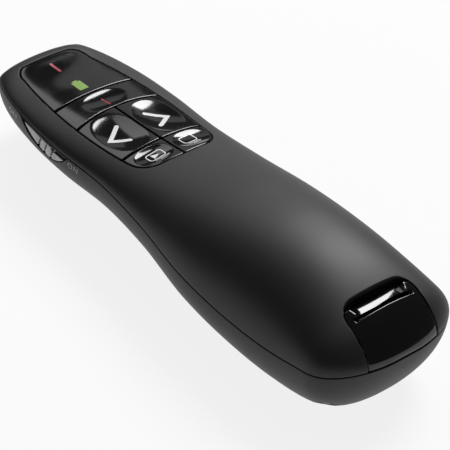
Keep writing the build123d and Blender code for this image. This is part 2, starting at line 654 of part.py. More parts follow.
# ================================================================ circuit board
board_corners = [(BOARD_NOSE_HALF, BOARD_HEAD), (BOARD_HALF, BOARD_SHOULDER), (BOARD_HALF, BOARD_TAIL)]
board_points = [plan(x, s) for x, s in board_corners] + [plan(-x, s) for x, s in reversed(board_corners)]
board = upright_prism(Polyline(*board_points, close=True).edges(), BOARD_BASE, BOARD_TOP)
for x, s in both_sides(BOARD_SCREWS):
    board -= upright(SCREW_HOLE, x, s, BOARD_BASE, BOARD_TOP)
save("main_board", board)
for name, (left, width, first, length, height) in CHIPS.items():
    save(name, block(left, left + width, first, first + length, BOARD_TOP, BOARD_TOP + height))

led_half, led_length, led_height = LED_SIZE[0] / 2, LED_SIZE[1], LED_SIZE[2]
led_top = BOARD_TOP + led_height
for name, (half, first, last) in LIGHTS.items():
    led_front = (first + last - led_length) / 2
    panel_under = min(top_z(half, first, WALL), top_z(half, last, WALL)) - SKIN_GAP
    save(f"{name}_led", block(-led_half, led_half, led_front, led_front + led_length, BOARD_TOP, led_top))
    save(f"{name}_light_guide", block(-half, half, first, last, led_top + SNUG, panel_under))


def screw(x, s, seat, length, up):
    """Pan-head screw; its head sits at seat and its shank runs up or down from there."""
    if up:
        return (upright(HEAD_RADIUS, x, s, seat - HEAD_HEIGHT, seat)
                + upright(SCREW_RADIUS, x, s, seat, seat + length))
    return (upright(HEAD_RADIUS, x, s, seat, seat + HEAD_HEIGHT)
            + upright(SCREW_RADIUS, x, s, seat - length, seat))


def cross_slot(x, s, z):
    """Cross recess for the screwdriver, at height z."""
    bars = [block(x - dx, x + dx, s - ds, s + ds, z - CROSS_DEPTH, z + CROSS_DEPTH)
            for dx, ds in ((CROSS_REACH, CROSS_HALF), (CROSS_HALF, CROSS_REACH))]
    return bars[0] + bars[1]


save("board_screws", Compound(children=[
    (screw(x, s, BOARD_TOP, BOARD_SCREW_LENGTH, up=False) - cross_slot(x, s, BOARD_TOP + HEAD_HEIGHT)).solid()
    for x, s in both_sides(BOARD_SCREWS)]))
save("case_screws", Compound(children=[
    (screw(x, s, CASE_SEAT, TRAY_TOP + CASE_SCREW_REACH - CASE_SEAT, up=True)
     - cross_slot(x, s, CASE_SEAT - HEAD_HEIGHT)).solid()
    for x, s in both_sides(CASE_SCREWS)]))

# ================================================================ laser
barrel_rear = BARREL_FRONT + BARREL_LENGTH
lens_front = BARREL_FRONT + LENS_SETBACK
barrel = lengthwise(BARREL_RADIUS, 0, LASER_Z, BARREL_FRONT, barrel_rear)
barrel -= lengthwise(LENS_RADIUS + SNUG, 0, LASER_Z, BARREL_FRONT, lens_front + LENS_THICK)
barrel -= lengthwise(BARREL_BORE, 0, LASER_Z, BARREL_FRONT, barrel_rear)
save("laser_barrel", barrel)
save("laser_lens", lengthwise(LENS_RADIUS, 0, LASER_Z, lens_front, lens_front + LENS_THICK))
can_rear = barrel_rear + CAN_THICK
diode = lengthwise(DIODE_RADIUS, 0, LASER_Z, barrel_rear, can_rear)
diode += lengthwise(CAN_NECK[0], 0, LASER_Z, barrel_rear - CAN_NECK[1], barrel_rear)
for x in (-LEG_PITCH, 0, LEG_PITCH):
    diode += lengthwise(LEG_RADIUS, x, LASER_Z, can_rear, can_rear + LEG_LENGTH)
save("laser_diode", diode)
window_rear = APERTURE_DEPTH + WINDOW_THICK
save("laser_window", lengthwise(APERTURE_RADIUS - SNUG, 0, LASER_Z, APERTURE_DEPTH, window_rear))

# ================================================================ power switch
# It rests at the tail end of its leaf, and slides towards the laser end.
slider_top = SWITCH_TOP - FIT_GAP
slider = belly_wall & switch_leaf(SWITCH_TRAVEL + FIT_GAP, SLIDER_LOW_GAP)
slider &= switch_leaf(-FIT_GAP, SLIDER_LOW_GAP)
slider -= block(-FAR, 0, -FAR, FAR, slider_top, FAR)
slider -= block(-FAR, 0, SLIDER_GROOVES[-1], FAR, slider_top - SLIDER_HEEL_DROP, FAR)
for s in SLIDER_GROOVES:
    groove_x = -side_x(SLIDER_GROOVE_Z, s)
    slider -= Pos(groove_x, HALF - s, SLIDER_GROOVE_Z) * Rot(SLIDER_GROOVE_LEAN, 0, 0) * Box(
        2 * SLIDER_GROOVE_DEPTH, SLIDER_GROOVE_WIDTH, SLIDER_GROOVE_LENGTH)
fork_s, fork_z = FORK_WALL
fork_base = LEVER_Z[0] - fork_z
fork_top = LEVER_Z[1] + fork_z
fork_head = LEVER_S[0] - fork_s
flange_x = -side_x(fork_base, fork_head - SWITCH_TRAVEL, WALL) + FIT_GAP
slider += block(flange_x, flange_x + FLANGE_THICK, SWITCH_BODY_S[0] - FLANGE_LAP, SWITCH_BODY_S[1],
                (fork_base + fork_top) / 2, slider_top)
bridge_x = -side_x(SWITCH_TOP, SWITCH_BODY_S[0], WALL) - WALL / 2
slider += block(bridge_x, flange_x + FLANGE_THICK / 2, *BRIDGE_S, *BRIDGE_Z)
fork = block(flange_x, SWITCH_BODY_X[0] - FIT_GAP, fork_head, LEVER_S[1] + fork_s, fork_base, fork_top)
lever_x = flange_x + FIT_GAP
lever = block(lever_x, SWITCH_BODY_X[0] + LEVER_REACH, *LEVER_S, *LEVER_Z)
lever_room = block(lever_x - SNUG, 0, LEVER_S[0] - SNUG, LEVER_S[1] + SNUG,
                   LEVER_Z[0] - SNUG, LEVER_Z[1] + SNUG)
save("power_slider", (slider + fork) - lever_room)
save("slide_switch_lever", lever)
switch_body = block(*SWITCH_BODY_X, *SWITCH_BODY_S, BOARD_BASE - SWITCH_BODY_THICK, BOARD_BASE)
switch_body -= block(SWITCH_BODY_X[0], SWITCH_BODY_X[0] + LEVER_REACH + FIT_GAP,
                     LEVER_S[0] - SWITCH_TRAVEL - FIT_GAP, LEVER_S[1] + FIT_GAP,
                     LEVER_Z[0] - SNUG, LEVER_Z[1] + SNUG)
save("slide_switch_body", switch_body)


# ================================================================ USB receiver
housing_length = HOUSING_TAIL - HOUSING_HEAD
middle_z = RECEIVER_THICK / 2
housing = receiver_bar(0.0, 0, housing_length)
hollow_half = (RECEIVER_WIDTH - RECEIVER_CORNER) / 2 - RECEIVER_WALL
housing -= block(-hollow_half, hollow_half, RECEIVER_WALL, FAR, RECEIVER_WALL, RECEIVER_THICK - RECEIVER_WALL)
plug_half = PLUG_WIDTH / 2
plug_base, plug_top = middle_z - PLUG_THICK / 2, middle_z + PLUG_THICK / 2
housing -= block(-plug_half - SNUG, plug_half + SNUG, -FAR, 2 * RECEIVER_WALL,
                 plug_base - SNUG, plug_top + SNUG)
upper = housing & block(-FAR, FAR, -FAR, FAR, middle_z + SNUG, FAR)
lower = housing & block(-FAR, FAR, -FAR, FAR, -FAR, middle_z)
save("receiver_upper_housing", tilted(upper))
save("receiver_lower_housing", tilted(lower))

usb_shell = block(-plug_half, plug_half, -PLUG_LENGTH, PLUG_HOLD, plug_base, plug_top)
usb_shell -= block(-plug_half + PLUG_WALL, plug_half - PLUG_WALL, -FAR, FAR,
                   plug_base + PLUG_WALL, plug_top - PLUG_WALL)
latch_x, latch_width, latch_place, latch_length = PLUG_WINDOWS
for x in (-latch_x, latch_x):
    usb_shell -= block(x - latch_width / 2, x + latch_width / 2, -latch_place - latch_length, -latch_place,
                       -FAR, FAR)
save("usb_shell", tilted(usb_shell))
tongue_half = plug_half - PLUG_WALL - SNUG
tongue_top = plug_base + PLUG_WALL + TONGUE_RISE
save("usb_tongue", tilted(block(-tongue_half, tongue_half, TONGUE_SETBACK - PLUG_LENGTH, PLUG_HOLD,
                                plug_base + PLUG_WALL + SNUG, tongue_top)))
pins = [block(x - PIN_WIDTH / 2, x + PIN_WIDTH / 2, PIN_ENDS[0] - PLUG_LENGTH, -PIN_ENDS[1],
              tongue_top, tongue_top + PIN_THICK) for x in PIN_PLACES]
save("usb_contacts", tilted(Compound(children=pins)))
board_half = hollow_half - FIT_GAP
save("receiver_board", tilted(block(-board_half, board_half, PLUG_HOLD, housing_length - RECEIVER_WALL,
                                    tongue_top - RECEIVER_BOARD_THICK, tongue_top)))
chip_side, chip_s, chip_height = RECEIVER_CHIP
save("receiver_chip", tilted(block(-chip_side / 2, chip_side / 2, chip_s, chip_s + chip_side,
                                   tongue_top, tongue_top + chip_height)))

# The cap fills the opening in the tail. Its front is a scoop for a fingertip, then a groove and a lip.
cap_front = HOUSING_TAIL
cap_half = DOCK_HALF - FIT_GAP
cap_outline = RectangleRounded(2 * cap_half, FAR, DOCK_CORNER - FIT_GAP)
cap_plan = extrude(Pos(0, HALF - (cap_front + FAR / 2), 0) * cap_outline, amount=FAR)
skin = half_body(RECEIVER_END_GAP, 1)
under_cap = tilted(block(-FAR, FAR, -FAR, 2 * FAR, -FAR, 0))
above_front = tilted(block(-FAR, FAR, -FAR, EAR_FRONT - HOUSING_HEAD, RECEIVER_THICK, FAR))
groove_s = SCOOP_REAR - HOUSING_HEAD


def trough(s0, s1, base):
    """Open channel between the ears, with round lower corners."""
    outline = RectangleRounded(2 * (cap_half - EAR_WIDTH), 2 * FAR, SCOOP_CORNER)
    section = Plane.XZ * (Pos(0, base + FAR) * outline)
    return tilted(Pos(0, HALF - s0, 0) * extrude(section, amount=s1 - s0, dir=(0, -1, 0)))


above_scoop = trough(-FAR, groove_s, RECEIVER_THICK)
groove = trough(groove_s, groove_s + GROOVE_WIDTH, RECEIVER_THICK - GROOVE_DEPTH)
pocket = tilted(block(-hollow_half, hollow_half, 0, housing_length + CAP_LENGTH - CAP_POCKET_WALL,
                      RECEIVER_WALL, RECEIVER_THICK - GROOVE_DEPTH - RECEIVER_WALL))
receiver_cap = (skin & cap_plan) - under_cap - above_scoop - above_front - groove - pocket
save("receiver_cap", receiver_cap)
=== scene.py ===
# %% [markdown]
# # A wireless presentation clicker
# The construction arrives as a imported model: every piece at its real size and place. This lesson gives
# it a finish. Hard, curved plastic is the whole subject: a soft matt casing, polished keys that mirror
# the room, thin printed marks, and small bright edges. We load the model first.

# %% Load the model
import bmesh
import bpy
import json
from math import atan2, cos, hypot, pi, radians, sin, sqrt, tan
from mathutils import Matrix, Vector

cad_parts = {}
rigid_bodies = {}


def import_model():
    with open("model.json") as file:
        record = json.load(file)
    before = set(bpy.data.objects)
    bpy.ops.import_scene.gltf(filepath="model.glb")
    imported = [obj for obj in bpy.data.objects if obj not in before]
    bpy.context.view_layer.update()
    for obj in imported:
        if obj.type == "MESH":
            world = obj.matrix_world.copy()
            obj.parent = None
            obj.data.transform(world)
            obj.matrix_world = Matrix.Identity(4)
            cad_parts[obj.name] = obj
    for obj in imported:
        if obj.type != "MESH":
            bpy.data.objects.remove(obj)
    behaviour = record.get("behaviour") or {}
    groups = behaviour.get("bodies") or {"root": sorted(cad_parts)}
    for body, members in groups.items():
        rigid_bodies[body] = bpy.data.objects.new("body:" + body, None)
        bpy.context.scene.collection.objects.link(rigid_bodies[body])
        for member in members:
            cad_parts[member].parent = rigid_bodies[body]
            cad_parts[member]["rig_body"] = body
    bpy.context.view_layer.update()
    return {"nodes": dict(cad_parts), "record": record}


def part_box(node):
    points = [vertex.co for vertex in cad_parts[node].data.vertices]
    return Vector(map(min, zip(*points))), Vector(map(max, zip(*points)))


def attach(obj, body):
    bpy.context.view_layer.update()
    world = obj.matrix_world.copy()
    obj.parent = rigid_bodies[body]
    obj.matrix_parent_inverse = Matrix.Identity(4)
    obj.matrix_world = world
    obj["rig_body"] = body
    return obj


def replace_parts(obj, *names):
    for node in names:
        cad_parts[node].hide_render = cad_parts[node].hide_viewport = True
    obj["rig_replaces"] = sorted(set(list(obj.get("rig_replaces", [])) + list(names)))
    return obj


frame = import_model()
MM = 0.001
print("pieces in the model:", len(frame["nodes"]))

# %% [markdown]
# ## The curve of the casing
# Two shells meet at a wavy seam. Across its length the casing is a fat ellipse, and its width, crown,
# seam and belly change along the length. We could trace the model's triangles, but a mirror finish shows
# every facet. So we write the same smooth curves as functions, and build the skins from them.
# A place is x across, s from the laser end, z up, in millimetres.

# %% Sizes of the casing
LENGTH = 115.5
WALL = 1.6
SEAM_GAP = 0.2
TOP_POWER = 2.15
BELLY_POWER = 2.2
END_POWER = 2.2
END_FLAT = 0.15
HEAD_ROUNDING = {"plan": 2.2, "side": 5.5}
TAIL_ROUNDING = {"plan": 9.3, "side": 6.5}
STATIONS = (          # share of the length, half width, top, seam, belly
    (0.00, 10.6, 17.6, 13.9, 5.0),
    (0.05, 13.0, 16.8, 14.4, 3.3),
    (0.14, 15.3, 17.5, 14.7, 2.4),
    (0.24, 16.1, 18.7, 14.8, 2.3),
    (0.36, 15.8, 20.2, 15.0, 2.8),
    (0.48, 16.9, 22.5, 14.5, 1.9),
    (0.61, 18.7, 25.4, 13.0, -1.0),
    (0.73, 18.9, 27.3, 12.2, -2.4),
    (0.83, 18.7, 27.0, 12.7, -2.2),
    (0.92, 18.4, 24.4, 14.5, -0.2),
    (1.00, 17.9, 20.0, 16.0, 5.8),
)
HALF_WIDTH, TOP, SEAM, BELLY = 1, 2, 3, 4


def along(column, s):
    """Smooth curve through one column of STATIONS."""
    places = [row[0] * LENGTH for row in STATIONS]
    values = [row[column] for row in STATIONS]
    last = len(places) - 1
    i = max(0, min(last - 1, sum(place <= s for place in places) - 1))
    chords = [(values[k + 1] - values[k]) / (places[k + 1] - places[k]) for k in range(last)]

    def slope(k):
        if k in (0, last):
            return chords[min(k, last - 1)]
        before, after = places[k] - places[k - 1], places[k + 1] - places[k]
        return (chords[k - 1] * after + chords[k] * before) / (before + after)

    step = places[i + 1] - places[i]
    t = (s - places[i]) / step
    return (values[i] + (values[i + 1] - values[i]) * t * t * (3 - 2 * t)
            + slope(i) * step * t * (1 - t) ** 2 - slope(i + 1) * step * t * t * (1 - t))


def rounding(s, view, inset):
    """From 0 at the tips to 1 where the rounding of the ends is over."""
    head = max(0.0, 1 - (s - inset + END_FLAT) / (HEAD_ROUNDING[view] - inset / 2))
    tail = max(0.0, 1 - (LENGTH - inset - s + END_FLAT) / (TAIL_ROUNDING[view] - inset))
    return ((1 - head ** END_POWER) * (1 - tail ** END_POWER)) ** (1 / END_POWER)


def half_width(s, inset=0.0):
    return (along(HALF_WIDTH, s) - inset) * rounding(s, "plan", inset)


def reach(s, inset, side):
    """Height of the crown over the seam for side 1, depth of the belly under it for side -1."""
    far = along(TOP, s) - along(SEAM, s) if side > 0 else along(SEAM, s) - along(BELLY, s)
    return (far - inset) * rounding(s, "side", inset)


def top_z(x, s):
    share = min(1.0, abs(x) / half_width(s))
    return along(SEAM, s) + reach(s, 0.0, 1) * (1 - share ** TOP_POWER) ** (1 / TOP_POWER)


def side_x(z, s):
    share = min(1.0, max(0.0, (along(SEAM, s) - z) / reach(s, 0.0, -1)))
    return half_width(s) * (1 - share ** BELLY_POWER) ** (1 / BELLY_POWER)


def place(x, s, z=0.0):
    """A point of the casing, in the model's axes but still in millimetres."""
    return Vector((x, LENGTH / 2 - s, z))


print("crown over the cells:", round(top_z(0, 84), 1), "mm")

# %% [markdown]
# ## Tools for making a piece
# Each piece is worked on as a bmesh in millimetres, because the numbers read like the ones on a drawing.
# When it is done, one call scales it to metres, points its faces outwards, smooths it and ties it to the
# body that it moves with. Booleans run as modifiers on throw-away objects, and their result is kept.

# %% Helpers for pieces
SHARP_OVER = 40            # degrees between two faces that aren't shaded as one
SLIVER = 0.03              # a face narrower than this is left over from a cut


def make_object(name, bm, scale=MM):
    mesh = bpy.data.meshes.new(name)
    if scale != 1:
        bmesh.ops.scale(bm, vec=(scale, scale, scale), verts=bm.verts)
    bm.to_mesh(mesh)
    bm.free()
    made = bpy.data.objects.new(name, mesh)
    bpy.context.scene.collection.objects.link(made)
    return made


def finish_piece(name, bm, body, finish, replaces=()):
    """Scales a bmesh to metres and makes it a smooth, riding piece of the clicker."""
    bmesh.ops.remove_doubles(bm, verts=bm.verts, dist=1e-4)
    bmesh.ops.recalc_face_normals(bm, faces=bm.faces)
    made = make_object(name, bm)
    made.data.materials.append(finish)
    made.data.shade_smooth()
    made.data.set_sharp_from_angle(angle=radians(SHARP_OVER))
    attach(made, body)
    if replaces:
        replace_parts(made, *replaces)
    print(f"{name}: {len(made.data.polygons)} faces")


def shown_mesh(made):
    """The mesh of an object with its modifiers or its font applied."""
    bpy.context.view_layer.update()
    return bpy.data.meshes.new_from_object(made.evaluated_get(bpy.context.evaluated_depsgraph_get()))


def combined(bm, other, operation):
    """The bmesh cut, joined or intersected with another one. Both are used up."""
    work, tool = make_object("work", bm, 1), make_object("tool", other, 1)
    step = work.modifiers.new("combine", "BOOLEAN")
    step.operation = operation
    step.solver = "EXACT"
    step.object = tool
    mesh = shown_mesh(work)
    result = bmesh.new()
    result.from_mesh(mesh)
    for made in (work, tool):
        bpy.data.meshes.remove(made.data)
    bpy.data.meshes.remove(mesh)
    return result


def soften(bm, width, segments=3, angle=50, merge=0.03):
    """Rounds every edge that turns by more than the angle. The normal of a sliver says nothing, so its
    edges stay as they are."""
    bmesh.ops.remove_doubles(bm, verts=bm.verts, dist=merge)
    bmesh.ops.dissolve_degenerate(bm, edges=bm.edges, dist=merge)
    bm.normal_update()
    slivers = {f for f in bm.faces if f.calc_area() < SLIVER * max(e.calc_length() for e in f.edges)}
    sharp = [e for e in bm.edges if len(e.link_faces) == 2 and e.calc_face_angle(0) > radians(angle)
             and not slivers.intersection(e.link_faces)]
    bmesh.ops.bevel(bm, geom=sharp, offset=width, offset_type="OFFSET", segments=segments, profile=0.5,
                    affect="EDGES", clamp_overlap=False, material=-1)


def arc(a, b, c, steps=12):
    """Points from a to c on the circle through a, b and c."""
    (ax, ay), (bx, by), (cx, cy) = a, b, c
    aa, bb, cc = ax * ax + ay * ay, bx * bx + by * by, cx * cx + cy * cy
    d = 2 * (ax * (by - cy) + bx * (cy - ay) + cx * (ay - by))
    ux = (aa * (by - cy) + bb * (cy - ay) + cc * (ay - by)) / d
    uy = (aa * (cx - bx) + bb * (ax - cx) + cc * (bx - ax)) / d
    radius = hypot(ax - ux, ay - uy)
    start, middle, end = (atan2(y - uy, x - ux) for x, y in (a, b, c))
    turn = (end - start) % (2 * pi)
    if (middle - start) % (2 * pi) > turn:
        turn -= 2 * pi
    angles = [start + turn * k / steps for k in range(steps + 1)]
    return [(ux + radius * cos(angle), uy + radius * sin(angle)) for angle in angles]


def push_out(bm, faces, way, keep=False):
    """Extrudes faces by a vector. Keep leaves the faces themselves in place as well."""
    grown = bmesh.ops.extrude_face_region(bm, geom=faces, use_keep_orig=keep)["geom"]
    moved = [g for g in grown if isinstance(g, bmesh.types.BMVert)]
    bmesh.ops.translate(bm, vec=way, verts=moved)


def swept(points, way):
    """Solid between a flat outline and its copy, which is moved by a vector."""
    bm = bmesh.new()
    push_out(bm, [bm.faces.new([bm.verts.new(point) for point in points])], way)
    bmesh.ops.recalc_face_normals(bm, faces=bm.faces)
    return bm


def prism(outline, z0, z1):
    """Upright solid over a plan outline of (x, s) points."""
    return swept([place(x, s, z0) for x, s in outline], (0, 0, z1 - z0))


def bar(x0, x1, s0, s1, z0, z1):
    """Plain block, used to cut with."""
    bm = bmesh.new()
    bmesh.ops.create_cube(bm, size=1)
    bmesh.ops.scale(bm, vec=(x1 - x0, s1 - s0, z1 - z0), verts=bm.verts)
    bmesh.ops.translate(bm, vec=place((x0 + x1) / 2, (s0 + s1) / 2, (z0 + z1) / 2), verts=bm.verts)
    return bm


def rod(radius, start, end, segments=48):
    """Round bar between two points."""
    bm = bmesh.new()
    length = (end - start).length
    bmesh.ops.create_cone(bm, cap_ends=True, segments=segments, radius1=radius, radius2=radius, depth=length)
    turn = Vector((0, 0, 1)).rotation_difference(end - start).to_matrix()
    bmesh.ops.rotate(bm, cent=(0, 0, 0), matrix=turn, verts=bm.verts)
    bmesh.ops.translate(bm, vec=(start + end) / 2, verts=bm.verts)
    return bm


# %% [markdown]
# ## Shader maths as Python
# A finish is a small graph of nodes. Writing it link by link hides the idea, so one class wraps a socket
# and lets `mask * 0.3 + 0.1` add its Math nodes by itself. Every other node comes from one method.

# %% The socket wrapper and the finish maker
class Signal:
    """A socket of a finish that takes part in sums."""

    def __init__(self, finish, socket):
        self.finish = finish
        self.socket = socket

    def math(self, operation, *values):
        return self.finish.node("ShaderNodeMath", {"operation": operation}, dict(enumerate(values)))

    def __add__(self, other):
        return self.math("ADD", self, other)

    def __mul__(self, other):
        return self.math("MULTIPLY", self, other)

    def __gt__(self, other):
        return self.math("GREATER_THAN", self, other)

    __radd__ = __add__
    __rmul__ = __mul__

    def clamped(self):
        return self.math("MINIMUM", self.math("MAXIMUM", self, 0.0), 1.0)


class Finish:
    """A material that is built up from named layers."""

    def __init__(self, name, colour, roughness, metallic=0.0, coat=0.0):
        self.material = bpy.data.materials.new(name)
        self.material.use_nodes = True
        self.tree = self.material.node_tree
        self.shader = self.tree.nodes["Principled BSDF"]
        self.set("Base Color", (*colour, 1.0))
        self.set("Roughness", roughness)
        self.set("Metallic", metallic)
        self.set("Coat Weight", coat)
        self.material.diffuse_color = (*colour, 1.0)

    def feed(self, socket, value):
        if isinstance(value, Signal):
            self.tree.links.new(value.socket, socket)
        else:
            socket.default_value = value

    def set(self, name, value):
        self.feed(self.shader.inputs[name], value)

    def node(self, kind, settings=None, sockets=None, output=0):
        """Any node: its settings first, then the values or links of its sockets."""
        made = self.tree.nodes.new(kind)
        for key, value in (settings or {}).items():
            setattr(made, key, value)
        for key, value in (sockets or {}).items():
            self.feed(made.inputs[key], value)
        return Signal(self, made.outputs[output])

    def grain(self, size, detail=2.0, rough=0.5, stretch=(1, 1, 1)):
        """Noise whose blobs are about size millimetres, fixed to the piece."""
        where = self.node("ShaderNodeTexCoord", output="Object")
        mapped = self.node("ShaderNodeMapping", {}, {"Vector": where, "Scale": stretch})
        return self.node("ShaderNodeTexNoise", {}, {
            "Vector": mapped, "Scale": 1 / (size * MM), "Detail": detail, "Roughness": rough})

    def ramp(self, value, low, high):
        """Runs from 0 to 1 as the value goes from low to high."""
        return self.node("ShaderNodeMapRange", {"interpolation_type": "SMOOTHSTEP"}, {
            "Value": value, "From Min": low, "From Max": high})

    def mix(self, factor, first, second):
        """Colour that goes from the first to the second."""
        return self.node("ShaderNodeMix", {"data_type": "RGBA"}, {0: factor, 6: first, 7: second}, output=2)

    def bump(self, height, depth):
        """Relief of depth millimetres."""
        return self.node("ShaderNodeBump", {}, {"Height": height, "Distance": depth * MM, "Strength": 1.0})


print("node maker ready")

# %% [markdown]
# ## Finishes
# The casing has a soft-touch paint: dark, a little cloudy, with a grain so fine that it only breaks up
# the highlight. The keys are piano black, and what makes them look real is not their colour but the
# small faults in their mirror: dust, hairlines, and the dull trace of a thumb.

# %% Finishes that show
def soft_touch():
    finish = Finish("soft_touch_charcoal", (0.012, 0.011, 0.0115), 0.5)
    finish.set("Specular IOR Level", 0.4)
    cloud = finish.grain(14.0, detail=3.0)
    speck = finish.grain(0.16, detail=3.0)
    finish.set("Base Color", finish.mix(cloud * 0.6 + speck * 0.4, (0.009, 0.0083, 0.0086, 1),
                                        (0.017, 0.0158, 0.0160, 1)))
    finish.set("Roughness", 0.44 + 0.06 * cloud + 0.08 * speck)
    finish.set("Normal", finish.bump(speck, 0.010))
    return finish.material


def piano_black():
    finish = Finish("piano_black", (0.002, 0.002, 0.0022), 0.05)
    touch = finish.ramp(finish.grain(6.0, detail=2.0), 0.52, 0.72)
    hairline = finish.ramp(finish.grain(0.5, detail=3.0, stretch=(0.05, 1, 1)), 0.62, 0.70)
    dust = finish.ramp(finish.grain(0.22, detail=1.0), 0.80, 0.84)
    finish.set("Base Color", finish.mix(dust, (0.002, 0.002, 0.0022, 1), (0.03, 0.03, 0.03, 1)))
    finish.set("Roughness", 0.10 + 0.05 * touch + 0.05 * hairline + 0.3 * dust)
    finish.set("Normal", finish.bump(finish.grain(1.8, detail=1.0), 0.0015))
    return finish.material


def fine_texture(name, dark, light, size=0.25, relief=0.02):
    """Spark-eroded mould texture of a plastic part."""
    finish = Finish(name, dark, 0.5)
    pits = finish.grain(size, detail=4.0, rough=0.6)
    finish.set("Base Color", finish.mix(pits, (*dark, 1), (*light, 1)))
    finish.set("Roughness", 0.42 + 0.2 * pits)
    finish.set("Normal", finish.bump(pits, relief))
    return finish.material


def ink(name, colour):
    """Screen-printed ink: flat, slightly starved in places, with a tiny step at its rim."""
    finish = Finish(name, colour, 0.4)
    starved = finish.ramp(finish.grain(0.3, detail=3.0), 0.55, 0.75)
    thin = tuple(0.86 * part for part in colour)
    finish.set("Base Color", finish.mix(starved, (*colour, 1), (*thin, 1)))
    finish.set("Roughness", 0.32 + 0.15 * starved)
    finish.set("Normal", finish.bump(starved, 0.003))
    return finish.material


def metal(name, dark, light, roughness, grain=0.4, stretch=(1, 0.08, 1), metallic=1.0, relief=0.004):
    """Drawn or plated metal: its grain runs along the clicker, and handling leaves it duller."""
    finish = Finish(name, light, roughness, metallic=metallic)
    streak = finish.grain(grain, detail=4.0, stretch=stretch)
    tarnish = finish.ramp(finish.grain(3.0, detail=3.0), 0.45, 0.8)
    finish.set("Base Color", finish.mix(streak * 0.5 + tarnish * 0.5, (*light, 1), (*dark, 1)))
    finish.set("Roughness", roughness + 0.1 * streak + 0.12 * tarnish)
    finish.set("Normal", finish.bump(streak, relief))
    return finish.material


def circuit_board():
    """Solder mask over copper: the tracks are ridges that a brick pattern lays out."""
    finish = Finish("circuit_board", (0.02, 0.12, 0.05), 0.35)
    where = finish.node("ShaderNodeTexCoord", output="Object")
    tracks = finish.node("ShaderNodeTexBrick", {"offset": 0.5}, {
        "Vector": where, "Scale": 1 / (2.2 * MM), "Mortar Size": 0.05, "Brick Width": 1.3,
        "Row Height": 0.45}, output="Fac")
    fibre = finish.grain(0.3, detail=3.0)
    finish.set("Base Color", finish.mix(tracks, (0.012, 0.10, 0.045, 1), (0.05, 0.24, 0.10, 1)))
    finish.set("Roughness", 0.3 + 0.12 * fibre)
    finish.set("Normal", finish.bump(tracks + fibre * 0.2, 0.03))
    return finish.material


CELL_TIP, CELL_BAND = 1.2 * MM, 11 * MM


def cell_sleeve():
    """Shrink sleeve of a cell: dark body, a copper band near one end, bare steel at the tips."""
    finish = Finish("cell_sleeve", (0.04, 0.045, 0.05), 0.25, coat=0.3)
    where = finish.node("ShaderNodeTexCoord", output="Object")
    y = finish.node("ShaderNodeSeparateXYZ", {}, {"Vector": where}, output=1)
    low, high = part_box("battery_left")
    start, end = low.y + CELL_TIP, high.y - CELL_TIP
    band = y > end - CELL_BAND
    crease = finish.grain(1.2, detail=2.0, stretch=(1, 0.3, 1))
    tips = (y > end) + y.math("LESS_THAN", y, start)
    wrapped = finish.mix(band, (0.03, 0.034, 0.04, 1), (0.55, 0.27, 0.10, 1))
    finish.set("Base Color", finish.mix(tips, wrapped, (0.62, 0.61, 0.58, 1)))
    finish.set("Metallic", tips.math("MAXIMUM", tips, band * 0.7))
    finish.set("Roughness", 0.22 + 0.12 * crease)
    finish.set("Normal", finish.bump(crease, 0.02))
    return finish.material


def window(name, colour, alpha):
    """Moulded clear plastic with faint flow lines."""
    finish = Finish(name, colour, 0.06, coat=0.5)
    flow = finish.grain(0.9, detail=2.0, stretch=(1, 1, 0.3))
    finish.set("Base Color", finish.mix(flow, (*colour, 1), tuple(0.7 * part for part in colour) + (1,)))
    finish.set("Roughness", 0.04 + 0.08 * flow)
    finish.set("Alpha", alpha + 0.1 * flow)
    return finish.material


finishes = {
    "soft_charcoal": soft_touch(),
    "gloss_black": piano_black(),
    "matt_black": fine_texture("matt_black", (0.012, 0.012, 0.013), (0.03, 0.03, 0.031)),
    "satin_silver": metal("satin_silver", (0.25, 0.25, 0.26), (0.42, 0.42, 0.43), 0.34, grain=0.1,
                          stretch=(1, 1, 1), metallic=0.55, relief=0.006),
    "frosted": fine_texture("frosted_guide", (0.62, 0.66, 0.62), (0.78, 0.8, 0.76), relief=0.01),
    "smoked_glass": window("laser_window", (0.20, 0.012, 0.015), 0.75),
    "clear_lens": window("clear_lens", (0.7, 0.74, 0.8), 0.4),
    "circuit_green": circuit_board(),
    "chip_black": fine_texture("chip_epoxy", (0.012, 0.012, 0.013), (0.03, 0.03, 0.03), size=0.12),
    "ceramic_white": fine_texture("white_ceramic", (0.66, 0.66, 0.6), (0.8, 0.8, 0.74)),
    "tinned_steel": metal("tinned_steel", (0.32, 0.32, 0.32), (0.6, 0.6, 0.6), 0.3),
    "spring_steel": metal("spring_steel", (0.35, 0.34, 0.32), (0.66, 0.64, 0.6), 0.25),
    "screw_steel": metal("screw_steel", (0.10, 0.10, 0.10), (0.24, 0.24, 0.25), 0.35),
    "laser_brass": metal("laser_brass", (0.38, 0.25, 0.09), (0.66, 0.48, 0.2), 0.28),
    "cell_sleeve": cell_sleeve(),
    "plug_nickel": metal("plug_nickel", (0.4, 0.4, 0.4), (0.72, 0.72, 0.71), 0.2, grain=0.25),
    "tongue_white": fine_texture("tongue_white", (0.72, 0.72, 0.7), (0.84, 0.84, 0.82)),
    "gold": metal("gold_flash", (0.6, 0.4, 0.12), (0.85, 0.62, 0.24), 0.2),
    "ivory": fine_texture("ivory_plastic", (0.55, 0.53, 0.46), (0.68, 0.66, 0.58)),
}
inks = {
    "white": ink("white_ink", (0.82, 0.83, 0.82)),
    "grey": ink("grey_ink", (0.42, 0.42, 0.43)),
    "red": ink("red_window", (0.36, 0.02, 0.035)),
    "green": ink("green_window", (0.25, 0.42, 0.10)),
}
print("finishes:", len(finishes) + len(inks))

# %% [markdown]
# ## The two shells
# A shell is an arch that is drawn across the casing and pulled along it. The bmesh starts as one arch of
# edges; each extrude copies the last arch, and the copy is moved onto the next section. Doing it twice,
# with the second sheet one wall further in, and bridging their rims makes a closed shell.

